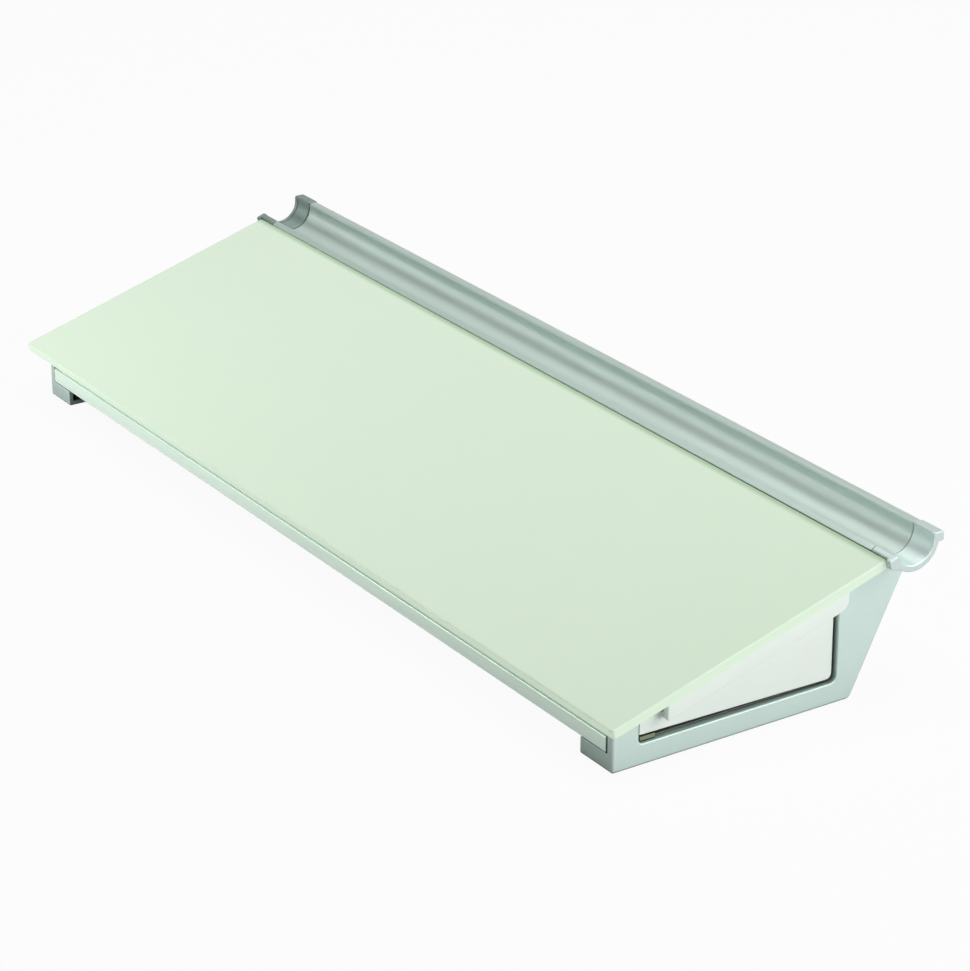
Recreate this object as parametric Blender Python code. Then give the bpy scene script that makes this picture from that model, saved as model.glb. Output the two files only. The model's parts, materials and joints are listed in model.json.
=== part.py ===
"""Desktop dry-erase pad: a tilted white glass panel with a pen trough behind it and a side drawer.

Metres, +Z up. +X runs along the glass towards the drawer's end, +Y from the front to the trough.
Sections are drawn in (y, z), with y = 0 at the feet's front face and z = 0 at their underside.
The root empty then moves the whole part so that its origin is the middle of its footprint.
"""

import math

import bmesh
import bpy
from mathutils import Matrix, Vector

# Gaps between pieces
FIT_GAP = 0.0003            # between pieces that touch
SLIDE_GAP = 0.0006          # round the drawer where it runs
OVERRUN = 0.0010            # how far cutters and joined shapes reach past a face
ARC_STEPS = 5               # facets in a small rounded corner
BORE_SIDES = 14             # sides of screws and of the holes for them
SHARP_ANGLE = math.radians(35)

# Glass panel, its lower front edge measured from the feet's front face and underside
GLASS_WIDTH = 0.4572
GLASS_DEPTH = 0.1291
GLASS_THICK = 0.0040
GLASS_TILT = math.radians(16.13)
GLASS_CORNER = 0.0020
GLASS_EDGE = 0.0005
GLASS_FRONT_Y = -0.0057
GLASS_FRONT_Z = 0.0194

# Bonding tape between the glass and what carries it
TAPE_THICK = 0.0006
TAPE_WIDTH = 0.0090
BOND_LINE = TAPE_THICK + 2 * FIT_GAP

# Support deck, the sheet under the glass
DECK_THICK = 0.0012
DECK_FRONT = 0.0066         # along the slope from the glass's front edge to the deck's
DECK_DROP = BOND_LINE + DECK_THICK

# Base pan, a bent sheet under and behind the drawer
PAN_THICK = 0.0015
PAN_LIP_TOP = 0.0140
PAN_BACK_INSET = 0.0030     # from the rear legs' outer line to the pan's back wall
PAN_TOP_GAP = 0.0005        # between the back wall and the trough

# Front rail
RAIL_WALL = 0.0018
RAIL_DEPTH = 0.0090
RAIL_BOTTOM = 0.0073
RAIL_EDGE = 0.0004
SHELF_DROP = DECK_DROP + FIT_GAP          # from the glass's underside to what carries the deck

# Pen trough, a round channel behind the glass
TROUGH_RADIUS = 0.0092
TROUGH_WALL = 0.0018
TROUGH_BACK = 0.0118        # along the slope, from the trough's front wall to its centre
TROUGH_RISE = 0.00525       # its centre above the glass's underside
TROUGH_FRONT_ANGLE = math.radians(20.5)   # below level, where the inside starts behind the glass
TROUGH_GLASS_GAP = 0.0004
TROUGH_FLANGE = 0.0130
TROUGH_STEPS = 22
BEAD_RISE = 0.0018          # the bead's top above the trough's centre
BEAD_DEPTH = 0.0041
BEAD_HEIGHT = 0.0035
BEAD_ROUND = 0.0009
TROUGH_OUTER = TROUGH_RADIUS + TROUGH_WALL
PORT_RADIUS = 0.0010        # screw ports run through the whole extrusion
PORT_BEAD_UP = 0.0018       # the rear port above the bead's underside
PORT_BEAD_IN = 0.0022       # the rear port in front of the bead's back
PORT_ROOT_DOWN = 0.0014     # the front port below the glass's underside
PORT_ROOT_BACK = 0.0018     # the front port behind the trough's front wall

# Trough end caps
CAP_LENGTH = 0.0127
CAP_OVERLAP = 0.0010        # from the trough's end to the frame's outer face
CAP_PROUD = 0.0003
CAP_LIP = 0.0033
CAP_FRONT_ANGLE = math.radians(30)        # from straight down, where the cap's front meets its round
CAP_EDGE = 0.0004
CAP_PEG = 0.0060

# End frames
FRAME_WEB = 0.0034
FRAME_INSET = 0.00894       # from the glass's end to the frame's outer face
FOOT_WIDTH_RIGHT = 0.0203
FOOT_WIDTH_LEFT = 0.0176
FOOT_WALL = 0.0020
FOOT_ROUND = 0.0010
HEEL_ROUND = 0.0030
LEG_LEAN = math.radians(26.5)
CRADLE_ANGLE = math.radians(32)           # how far behind straight down the web holds the trough
CRADLE_STEPS = 6
TOP_BAR = 0.0060            # web left above the drawer's opening
SHELF_THICK = 0.0025

# Drawer's opening in the right frame
OPENING_FRONT = 0.0118
REAR_POST = 0.0068          # from the opening's rear edge to the foot of the rear leg's outer line
OPENING_ROUND_FRONT = 0.0020
OPENING_ROUND_REAR = 0.0030
OPENING_TOP_ROUND = 0.0008

# Drawer front and its finger lip
FRONT_THICK = 0.0030
FRONT_RECESS = 0.0015
FRONT_SIDE_GAP = 0.0013     # to each side of the opening
FRONT_FOOT_GAP = 0.0028     # above the sill at the front corner
FRONT_HEEL_GAP = 0.0013     # above the sill at the rear corner
FRONT_ROUND = 0.0022
LIP_FRONT_GAP = 0.0102      # from the opening's front edge to the lip's
LIP_REAR_LAP = 0.0020       # past the opening's rear edge
LIP_DEPTH = 0.0107          # from the glass's underside to the lip's lower edge
LIP_TOP_GAP = 0.0007
LIP_THICK = 0.0032
LIP_ROUND = 0.0045
LIP_CORNER = 0.0011
LIP_EDGE = 0.0006

# Drawer tray
TRAY_LENGTH = 0.2200
TRAY_WALL = 0.0016
TRAY_SIDE_GAP = 0.0036      # to each side of the opening
TRAY_ROUND = 0.0015
DRAWER_TRAVEL = 0.1500

# Drawer runners
RUNNER_THICK = 0.0016
RUNNER_WIDTH = 0.0070
RUNNER_GUIDE = 0.0013       # guide rib's thickness
RUNNER_GUIDE_RISE = 0.0026
RUNNER_STEP = 0.0003        # the rib's inset from the foot's edges
RUNNER_LENGTH = 0.2300

# Drawer stop
STOP_LENGTH = 0.0100
STOP_WIDTH = 0.0140
TAB_LENGTH = 0.0030

# Screws
SHANK_RADIUS = 0.0012
HEAD_RADIUS = 0.0024
HEAD_THICK = 0.0014
SMALL_SHANK_RADIUS = 0.0008
SMALL_HEAD_RADIUS = 0.0017
SMALL_HEAD_THICK = 0.0008
SCREW_FROM_WEB = 0.0070     # frame screws, inboard of the web's inner face
DECK_SCREW_INSET = 0.0360   # from the deck's ends
DECK_SCREWS = 4             # in each row
BASE_SCREW_FRONT = 0.0182   # behind the opening's front edge
BASE_SCREW_REAR = 0.0150    # in front of its rear edge
RUNNER_SCREW_INSET = 0.0080
SCREW_SKIN = 0.0008         # left in front of a blind screw hole
TRAY_SCREWS = 3
TRAY_SCREW_PITCH = 0.0250
TRAY_SCREW_INSET = 0.0074   # from the tray's rear
TRAY_SCREW_RISE = 0.0058    # above the tray's floor

# Foot pads
PAD_LENGTH = 0.0110
PAD_WIDTH = 0.0080
PAD_PROUD = 0.0005
PAD_SEAT = 0.0009
PAD_ROUND = 0.0020
PAD_INSET = 0.0050          # from the foot's ends

def on_slope(along, above):
    """(y, z) of a point given along the glass from its front edge and above its underside."""
    y = GLASS_FRONT_Y + along * math.cos(GLASS_TILT) - above * math.sin(GLASS_TILT)
    z = GLASS_FRONT_Z + along * math.sin(GLASS_TILT) + above * math.cos(GLASS_TILT)
    return y, z


# Levels and places that follow from the sizes above
SLOPE = math.tan(GLASS_TILT)
FRAME_OUTER = GLASS_WIDTH / 2 - FRAME_INSET
FRAME_INNER = FRAME_OUTER - FRAME_WEB
FOOT_TOP = RAIL_BOTTOM - FIT_GAP
SILL_TOP = RAIL_BOTTOM + PAN_THICK
RUNNER_BOTTOM = SILL_TOP + FIT_GAP
TRAY_BOTTOM = RUNNER_BOTTOM + RUNNER_THICK + FIT_GAP
OPENING_DROP = BOND_LINE + TOP_BAR
DRAWER_DROP = OPENING_DROP + SLIDE_GAP
TROUGH_FRONT = GLASS_DEPTH + TROUGH_GLASS_GAP
TROUGH_Y, TROUGH_Z = on_slope(TROUGH_FRONT + TROUGH_BACK, TROUGH_RISE)
TROUGH_TOP = TROUGH_Z + BEAD_RISE
CRADLE_RADIUS = TROUGH_OUTER + CAP_PROUD + FIT_GAP
CRADLE_DROP = SHELF_DROP + TROUGH_WALL + FIT_GAP
TROUGH_END = FRAME_OUTER - CAP_OVERLAP
LEG_BASE = TROUGH_Y - TROUGH_Z * math.tan(LEG_LEAN) + CRADLE_RADIUS / math.cos(LEG_LEAN)
OPENING_REAR = LEG_BASE - REAR_POST
FRONT_OUTER = FRAME_OUTER - FRONT_RECESS
FRONT_INNER = FRONT_OUTER - FRONT_THICK
TRAY_RIGHT = FRONT_INNER - FIT_GAP
TRAY_LEFT = TRAY_RIGHT - TRAY_LENGTH
TRAY_FRONT = OPENING_FRONT + TRAY_SIDE_GAP
TRAY_REAR = OPENING_REAR - TRAY_SIDE_GAP
TRAY_MIDDLE = (TRAY_FRONT + TRAY_REAR) / 2
TAB_LEFT = TRAY_LEFT + TRAY_WALL
LIP_FRONT = OPENING_FRONT + LIP_FRONT_GAP
LIP_REAR = OPENING_REAR + LIP_REAR_LAP
LIP_INNER = FRAME_OUTER + FIT_GAP
SCREW_X = FRAME_INNER - SCREW_FROM_WEB
FOOTPRINT_FRONT = GLASS_FRONT_Y - (GLASS_THICK - GLASS_EDGE) * math.sin(GLASS_TILT)
FOOTPRINT_REAR = TROUGH_Y + TROUGH_RADIUS + BEAD_DEPTH + CAP_PROUD
FOOTPRINT_MIDDLE = (FOOTPRINT_FRONT + FOOTPRINT_REAR) / 2

# Colours of the materials
GLASS_WHITE = (0.78, 0.89, 0.79)
DRAWER_WHITE = (0.82, 0.86, 0.83)
SILVER_PAINT = (0.55, 0.63, 0.60)
SILVER_METAL = (0.60, 0.68, 0.66)
SHEET_WHITE = (0.72, 0.74, 0.73)
TAPE_GREY = (0.35, 0.37, 0.36)
STEEL_GREY = (0.55, 0.56, 0.57)
RUBBER_BLACK = (0.03, 0.03, 0.03)


def slope_height(y, drop):
    """Height at y of the plane that lies `drop` under the glass's underside."""
    return GLASS_FRONT_Z + (y - GLASS_FRONT_Y) * SLOPE - drop / math.cos(GLASS_TILT)


def slope_place(y, drop):
    """Distance along the glass of the point of that plane that has this y."""
    return (y - GLASS_FRONT_Y - drop * math.sin(GLASS_TILT)) / math.cos(GLASS_TILT)


def leg_line(z):
    """y of the rear leg's outer face at height z."""
    return LEG_BASE + z * math.tan(LEG_LEAN)


def arc(centre, radius, start, end, steps):
    """Points of an arc, its angles measured from straight down towards the rear."""
    points = []
    for step in range(steps + 1):
        angle = start + (end - start) * step / steps
        points.append((centre[0] + radius * math.sin(angle), centre[1] - radius * math.cos(angle)))
    return points


def beside_trough(outward, down):
    """Point by its distances from the trough's centre: square to the rear leg, and down along it."""
    y = TROUGH_Y + outward * math.cos(LEG_LEAN) - down * math.sin(LEG_LEAN)
    z = TROUGH_Z - outward * math.sin(LEG_LEAN) - down * math.cos(LEG_LEAN)
    return y, z


def circle_drop_angle(radius, drop):
    """Angle, in front of straight down, where a trough circle meets the plane `drop` below the glass."""
    above = ((TROUGH_Z - GLASS_FRONT_Z) * math.cos(GLASS_TILT)
             - (TROUGH_Y - GLASS_FRONT_Y) * math.sin(GLASS_TILT))
    return -math.acos((above + drop) / radius) + GLASS_TILT


def rounded(corners):
    """Outline through (a, b, radius) corners; a radius of 0 leaves a corner sharp."""
    points = []
    for index, (a, b, radius) in enumerate(corners):
        here = Vector((a, b))
        if radius == 0:
            points.append((a, b))
            continue
        before = (Vector(corners[index - 1][:2]) - here).normalized()
        after = (Vector(corners[(index + 1) % len(corners)][:2]) - here).normalized()
        half = before.angle(after) / 2
        centre = here + (before + after).normalized() * radius / math.sin(half)
        start = here + before * radius / math.tan(half) - centre
        turn = math.copysign(math.pi - 2 * half, before.x * after.y - before.y * after.x)
        for step in range(ARC_STEPS + 1):
            angle = -turn * step / ARC_STEPS
            x = start.x * math.cos(angle) - start.y * math.sin(angle)
            y = start.x * math.sin(angle) + start.y * math.cos(angle)
            points.append((centre.x + x, centre.y + y))
    return points


def material(name, colour, roughness, metallic):
    made = bpy.data.materials.new(name)
    made.use_nodes = True
    shader = made.node_tree.nodes["Principled BSDF"]
    shader.inputs["Base Color"].default_value = (*colour, 1)
    shader.inputs["Roughness"].default_value = roughness
    shader.inputs["Metallic"].default_value = metallic
    return made


def new_object(name, shape, finish, parent):
    """Object from a bmesh, its faces turned out and its curved faces shaded smooth."""
    bmesh.ops.recalc_face_normals(shape, faces=shape.faces)
    mesh = bpy.data.meshes.new(name)
    shape.to_mesh(mesh)
    shape.free()
    mesh.shade_smooth()
    mesh.set_sharp_from_angle(angle=SHARP_ANGLE)
    made = bpy.data.objects.new(name, mesh)
    bpy.context.collection.objects.link(made)
    if finish:
        made.data.materials.append(finish)
    made.parent = parent
    return made


def extrude(shape, corners, offset):
    """Closed prism in a bmesh: a face through the corners, carried along the offset."""
    face = shape.faces.new([shape.verts.new(corner) for corner in corners])
    grown = bmesh.ops.extrude_face_region(shape, geom=[face])
    moved = [item for item in grown["geom"] if isinstance(item, bmesh.types.BMVert)]
    bmesh.ops.translate(shape, verts=moved, vec=offset)


def section(name, outline, x_from, x_to, finish, parent):
    """A (y, z) outline carried along X."""
    shape = bmesh.new()
    extrude(shape, [(x_from, y, z) for y, z in outline], (x_to - x_from, 0, 0))
    return new_object(name, shape, finish, parent)


def plate(name, outline, z_from, z_to, finish, parent):
    """An (x, y) outline carried along Z."""
    shape = bmesh.new()
    extrude(shape, [(x, y, z_from) for x, y in outline], (0, 0, z_to - z_from))
    return new_object(name, shape, finish, parent)


def box_outline(a_from, a_to, b_from, b_to):
    return [(a_from, b_from), (a_to, b_from), (a_to, b_to), (a_from, b_to)]


def slope_strip(along_from, along_to, drop_top, drop_bottom):
    """(y, z) outline of a strip parallel to the glass, below its underside."""
    return [on_slope(along_from, -drop_bottom), on_slope(along_to, -drop_bottom),
            on_slope(along_to, -drop_top), on_slope(along_from, -drop_top)]


def soften(target, width, segments):
    """Bevel on the sharp edges."""
    bevel = target.modifiers.new("soft_edges", "BEVEL")
    bevel.width = width
    bevel.segments = segments
    bevel.limit_method = "ANGLE"
    bevel.angle_limit = SHARP_ANGLE


def shape_with(target, tool, operation):
    """Boolean on the target with a tool that isn't part of the model."""
    tool.hide_render = True
    tool.display_type = "WIRE"
    tool.parent = target.parent
    step = target.modifiers.new(tool.name, "BOOLEAN")
    step.operation = operation
    step.solver = "EXACT"
    step.object = tool


def add_rod(shape, base, direction, radius, length):
    """Closed round rod in a bmesh, from its base point along a direction."""
    aim = Vector(direction).normalized()
    middle = Vector(base) + aim * length / 2
    turn = aim.to_track_quat("Z", "Y").to_matrix().to_4x4()
    bmesh.ops.create_cone(shape, cap_ends=True, segments=BORE_SIDES, radius1=radius, radius2=radius,
                          depth=length, matrix=Matrix.Translation(middle) @ turn)


def rods(name, places, direction, radius, length):
    """Cutter of round rods, one for each base point."""
    shape = bmesh.new()
    for place in places:
        add_rod(shape, place, direction, radius, length)
    return new_object(name, shape, None, None)


def screw_mesh(name, length, sizes, finish):
    """Turned screw: its head below the origin, and its shank from there up Z."""
    shank, head, head_thick = sizes
    shape = bmesh.new()
    profile = [(0, -head_thick), (head, -head_thick), (head, 0), (shank, 0), (shank, length), (0, length)]
    verts = [shape.verts.new((radius, 0, z)) for radius, z in profile]
    edges = [shape.edges.new(pair) for pair in zip(verts, verts[1:])]
    bmesh.ops.spin(shape, geom=verts + edges, cent=(0, 0, 0), axis=(0, 0, 1), angle=2 * math.pi,
                   steps=BORE_SIDES, use_merge=True)
    bmesh.ops.remove_doubles(shape, verts=shape.verts, dist=FIT_GAP / 10)
    bmesh.ops.recalc_face_normals(shape, faces=shape.faces)
    mesh = bpy.data.meshes.new(name)
    shape.to_mesh(mesh)
    shape.free()
    mesh.shade_smooth()
    mesh.set_sharp_from_angle(angle=SHARP_ANGLE)
    mesh.materials.append(finish)
    return mesh


def screws(names, places, direction, length, sizes, finish, parent):
    """Like screws, each an object whose head ends at its place and whose shank points along the direction."""
    mesh = screw_mesh(names[0], length, sizes, finish)
    turn = Vector(direction).to_track_quat("Z", "Y").to_euler()
    for name, place in zip(names, places):
        screw = bpy.data.objects.new(name, mesh)
        bpy.context.collection.objects.link(screw)
        screw.location = place
        screw.rotation_euler = turn
        screw.parent = parent


def numbered(name, count):
    return [f"{name}_{number}" for number in range(1, count + 1)]


BIG_SCREW = (SHANK_RADIUS, HEAD_RADIUS, HEAD_THICK)
SMALL_SCREW = (SMALL_SHANK_RADIUS, SMALL_HEAD_RADIUS, SMALL_HEAD_THICK)
SLOPE_NORMAL = (0, -math.sin(GLASS_TILT), math.cos(GLASS_TILT))


def spread(places_x, y, z):
    return [(x, y, z) for x in places_x]


def both_ends(x):
    return [-x, x]


def deck_screw_places():
    """x of each deck screw in a row, evenly between the deck's ends."""
    far = FRAME_INNER - FIT_GAP - DECK_SCREW_INSET
    return [-far + 2 * far * step / (DECK_SCREWS - 1) for step in range(DECK_SCREWS)]


def make_glass(finish, parent):
    """Tempered glass, painted white behind, with small corners and ground edges."""
    half = GLASS_WIDTH / 2
    corners = [(-half, 0, GLASS_CORNER), (half, 0, GLASS_CORNER),
               (half, GLASS_DEPTH, GLASS_CORNER), (-half, GLASS_DEPTH, GLASS_CORNER)]
    glass = plate("glass_panel", rounded(corners), 0, GLASS_THICK, finish, parent)
    glass.location = (0, GLASS_FRONT_Y, GLASS_FRONT_Z)
    glass.rotation_euler = (GLASS_TILT, 0, 0)
    soften(glass, GLASS_EDGE, 2)


def make_tapes(finish, parent):
    """Tape frame between the glass and the deck, with side strips on the end frames' tops."""
    top = FIT_GAP
    bottom = FIT_GAP + TAPE_THICK
    front = DECK_FRONT + TAPE_WIDTH
    rear = GLASS_DEPTH - TAPE_WIDTH
    deck_end = FRAME_INNER - FIT_GAP
    section("bond_tape_front", slope_strip(DECK_FRONT, front, top, bottom), -deck_end, deck_end,
            finish, parent)
    section("bond_tape_rear", slope_strip(rear, GLASS_DEPTH - FIT_GAP, top, bottom), -deck_end, deck_end,
            finish, parent)
    side = slope_strip(front + FIT_GAP, rear - FIT_GAP, top, bottom)
    section("bond_tape_left", side, -deck_end, TAPE_WIDTH - deck_end, finish, parent)
    section("bond_tape_right", side, deck_end - TAPE_WIDTH, deck_end, finish, parent)


def deck_row_front():
    """Distance along the glass of the screws through the rail's flange."""
    return slope_place((RAIL_WALL + RAIL_DEPTH) / 2, SHELF_DROP)


def deck_row_rear():
    """Distance along the glass of the screws through the trough's flange."""
    return TROUGH_FRONT - TROUGH_FLANGE / 2


def row_holes(name, along, drop, thickness):
    """Cutter for one row of deck screws, through a sheet whose top lies `drop` under the glass."""
    places = spread(deck_screw_places(), *on_slope(along, -drop - thickness - OVERRUN))
    return rods(name, places, SLOPE_NORMAL, SHANK_RADIUS + FIT_GAP, thickness + 2 * OVERRUN)


def make_deck(finish, parent):
    """Flat sheet between the end frames, on the rail's and the trough's flanges."""
    end = FRAME_INNER - FIT_GAP
    deck = section("support_deck", slope_strip(DECK_FRONT, GLASS_DEPTH, BOND_LINE, DECK_DROP),
                   -end, end, finish, parent)
    for along in (deck_row_front(), deck_row_rear()):
        shape_with(deck, row_holes("deck_holes", along, BOND_LINE, DECK_THICK), "DIFFERENCE")


def make_deck_screws(finish, parent):
    """Screws from below through the two flanges into the deck."""
    rows = (("front", deck_row_front(), RAIL_WALL), ("rear", deck_row_rear(), TROUGH_WALL))
    for row, along, wall in rows:
        places = spread(deck_screw_places(), *on_slope(along, -SHELF_DROP - wall - FIT_GAP))
        names = numbered(f"deck_screw_{row}", len(places))
        screws(names, places, SLOPE_NORMAL, wall + DECK_THICK + FIT_GAP, BIG_SCREW, finish, parent)


def rail_outline():
    """C section: the face, a level foot flange and a top flange parallel to the glass."""
    inner = SHELF_DROP + RAIL_WALL
    return rounded([
        (0, RAIL_BOTTOM, RAIL_EDGE),
        (RAIL_DEPTH, RAIL_BOTTOM, 0),
        (RAIL_DEPTH, RAIL_BOTTOM + RAIL_WALL, 0),
        (RAIL_WALL, RAIL_BOTTOM + RAIL_WALL, RAIL_EDGE),
        (RAIL_WALL, slope_height(RAIL_WALL, inner), RAIL_EDGE),
        (RAIL_DEPTH, slope_height(RAIL_DEPTH, inner), 0),
        (RAIL_DEPTH, slope_height(RAIL_DEPTH, SHELF_DROP), 0),
        (0, slope_height(0, SHELF_DROP), RAIL_EDGE)])


def rail_screw_places(z):
    return spread(both_ends(SCREW_X), (RAIL_WALL + RAIL_DEPTH) / 2, z)


def make_rail(finish, parent):
    """Front rail between the two webs, standing on the feet."""
    end = FRAME_INNER - FIT_GAP
    rail = section("front_rail", rail_outline(), -end, end, finish, parent)
    shape_with(rail, row_holes("rail_deck_holes", deck_row_front(), SHELF_DROP, RAIL_WALL), "DIFFERENCE")
    shape_with(rail, rods("rail_foot_holes", rail_screw_places(RAIL_BOTTOM - OVERRUN), (0, 0, 1),
                          SHANK_RADIUS + FIT_GAP, RAIL_WALL + 2 * OVERRUN), "DIFFERENCE")


def trough_round(radius, front, rear):
    return arc((TROUGH_Y, TROUGH_Z), radius, front, rear, TROUGH_STEPS)


def trough_outline():
    """U section with a rear bead and a flange that runs forward under the deck."""
    inside_front = TROUGH_FRONT_ANGLE - math.pi / 2
    bead_rear = TROUGH_Y + TROUGH_RADIUS + BEAD_DEPTH
    bead_bottom = TROUGH_TOP - BEAD_HEIGHT
    outside_rear = math.acos((TROUGH_Z - bead_bottom) / TROUGH_OUTER)
    outside_front = circle_drop_angle(TROUGH_OUTER, SHELF_DROP + TROUGH_WALL)
    inside = trough_round(TROUGH_RADIUS, inside_front, math.pi / 2)
    bead = rounded([
        (*inside[-1], 0),
        (TROUGH_Y + TROUGH_RADIUS, TROUGH_TOP, BEAD_ROUND),
        (bead_rear, TROUGH_TOP, BEAD_ROUND),
        (bead_rear, bead_bottom, BEAD_ROUND),
        (TROUGH_Y + TROUGH_OUTER * math.sin(outside_rear), bead_bottom, 0)])
    outside = trough_round(TROUGH_OUTER, outside_rear, outside_front)
    flange_front = TROUGH_FRONT - TROUGH_FLANGE
    flange = [on_slope(flange_front, -SHELF_DROP - TROUGH_WALL), on_slope(flange_front, -SHELF_DROP),
              on_slope(TROUGH_FRONT, -SHELF_DROP), on_slope(TROUGH_FRONT, GLASS_THICK)]
    return inside[:-1] + bead + outside[1:] + flange


def port_places():
    """(y, z) of the extrusion's two screw ports: in the rear bead and in the front root."""
    rear = (TROUGH_Y + TROUGH_RADIUS + BEAD_DEPTH - PORT_BEAD_IN, TROUGH_TOP - BEAD_HEIGHT + PORT_BEAD_UP)
    front = on_slope(TROUGH_FRONT + PORT_ROOT_BACK, -PORT_ROOT_DOWN)
    return [rear, front]


def trough_screw_places(drop):
    return spread(both_ends(SCREW_X), *on_slope(deck_row_rear(), -drop))


def make_trough(finish, parent):
    """Extruded pen trough over the two webs."""
    trough = section("pen_trough", trough_outline(), -TROUGH_END, TROUGH_END, finish, parent)
    ports = bmesh.new()
    for y, z in port_places():
        add_rod(ports, (-TROUGH_END - OVERRUN, y, z), (1, 0, 0), PORT_RADIUS, 2 * (TROUGH_END + OVERRUN))
    shape_with(trough, new_object("trough_ports", ports, None, None), "DIFFERENCE")
    shape_with(trough, row_holes("trough_deck_holes", deck_row_rear(), SHELF_DROP, TROUGH_WALL),
               "DIFFERENCE")
    places = trough_screw_places(SHELF_DROP + TROUGH_WALL + OVERRUN)
    shape_with(trough, rods("trough_foot_holes", places, SLOPE_NORMAL, SHANK_RADIUS + FIT_GAP,
                            TROUGH_WALL + 2 * OVERRUN), "DIFFERENCE")


def cap_outline():
    """The trough's section, a little proud of it, without the flange."""
    inner = TROUGH_RADIUS - CAP_PROUD
    outer = TROUGH_OUTER + CAP_PROUD
    top = TROUGH_TOP + CAP_PROUD
    bead_rear = TROUGH_Y + TROUGH_RADIUS + BEAD_DEPTH + CAP_PROUD
    bead_bottom = TROUGH_TOP - BEAD_HEIGHT - CAP_PROUD
    outside_rear = math.acos((TROUGH_Z - bead_bottom) / outer)
    inside = trough_round(inner, TROUGH_FRONT_ANGLE - math.pi / 2, math.pi / 2)
    bead = rounded([
        (*inside[-1], 0),
        (TROUGH_Y + inner, top, BEAD_ROUND),
        (bead_rear, top, BEAD_ROUND),
        (bead_rear, bead_bottom, BEAD_ROUND),
        (TROUGH_Y + outer * math.sin(outside_rear), bead_bottom, 0)])
    outside = trough_round(outer, outside_rear, -CAP_FRONT_ANGLE)
    front = [on_slope(TROUGH_FRONT, GLASS_THICK + CAP_PROUD - CAP_LIP),
             on_slope(TROUGH_FRONT, GLASS_THICK + CAP_PROUD)]
    return inside[:-1] + bead + outside[1:] + front


def make_cap(name, side, finish, parent):
    """Moulded collar on one end of the trough, with two pegs in the screw ports."""
    start = side * (TROUGH_END + FIT_GAP)
    end = side * (TROUGH_END + CAP_LENGTH)
    cap = section(name, cap_outline(), start, end, finish, parent)
    soften(cap, CAP_EDGE, 2)
    pegs = bmesh.new()
    for y, z in port_places():
        add_rod(pegs, (start + side * OVERRUN, y, z), (-side, 0, 0), PORT_RADIUS - FIT_GAP,
                CAP_PEG + OVERRUN)
    shape_with(cap, new_object(name + "_pegs", pegs, None, None), "UNION")


def web_outline():
    """Outer plate of an end frame: foot, slanted rear leg, trough cradle and the bar under the glass."""
    cradle_front = circle_drop_angle(CRADLE_RADIUS, CRADLE_DROP)
    cradle = arc((TROUGH_Y, TROUGH_Z), CRADLE_RADIUS, CRADLE_ANGLE, cradle_front, CRADLE_STEPS)
    step_along = TROUGH_FRONT - TROUGH_FLANGE - FIT_GAP
    leg_top = cradle[0][1]
    lower = rounded([
        (0, slope_height(0, BOND_LINE), 0),
        (0, 0, FOOT_ROUND),
        (LEG_BASE, 0, HEEL_ROUND),
        (leg_line(leg_top), leg_top, 0)])
    return lower + cradle + [on_slope(step_along, -CRADLE_DROP), on_slope(step_along, -BOND_LINE)]


def clearing_outline():
    """What is cut away inside the web: all between the foot beam and the shelf, up to the glass."""
    shelf_drop = CRADLE_DROP + SHELF_THICK
    shelf_front = TROUGH_FRONT - TROUGH_FLANGE
    return [
        (-OVERRUN, FOOT_TOP),
        (leg_line(FOOT_TOP) + OVERRUN, FOOT_TOP),
        (leg_line(TROUGH_Z) + OVERRUN, TROUGH_Z),
        on_slope(TROUGH_FRONT, OVERRUN),
        on_slope(TROUGH_FRONT, -shelf_drop),
        on_slope(shelf_front, -shelf_drop),
        on_slope(shelf_front, OVERRUN),
        (-OVERRUN, slope_height(0, 0))]


def opening_outline():
    """Drawer's opening: level sill, upright rear edge, top parallel to the glass."""
    return rounded([
        (OPENING_FRONT, SILL_TOP, OPENING_ROUND_FRONT),
        (OPENING_REAR, SILL_TOP, OPENING_ROUND_REAR),
        (OPENING_REAR, slope_height(OPENING_REAR, OPENING_DROP), OPENING_TOP_ROUND),
        (OPENING_FRONT, slope_height(OPENING_FRONT, OPENING_DROP), OPENING_TOP_ROUND)])


def base_screw_places(z):
    return (spread(both_ends(SCREW_X), OPENING_FRONT + BASE_SCREW_FRONT, z)
            + spread(both_ends(SCREW_X), OPENING_REAR - BASE_SCREW_REAR, z))


def pad_rows():
    """y of the front and rear foot pads' middles."""
    return PAD_INSET + PAD_WIDTH / 2, LEG_BASE - HEEL_ROUND - PAD_INSET - PAD_WIDTH / 2


def pad_outline(x, y, spare):
    half_x = PAD_LENGTH / 2 + spare
    half_y = PAD_WIDTH / 2 + spare
    round_off = PAD_ROUND + spare
    return rounded([(x - half_x, y - half_y, round_off), (x + half_x, y - half_y, round_off),
                    (x + half_x, y + half_y, round_off), (x - half_x, y + half_y, round_off)])


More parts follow.
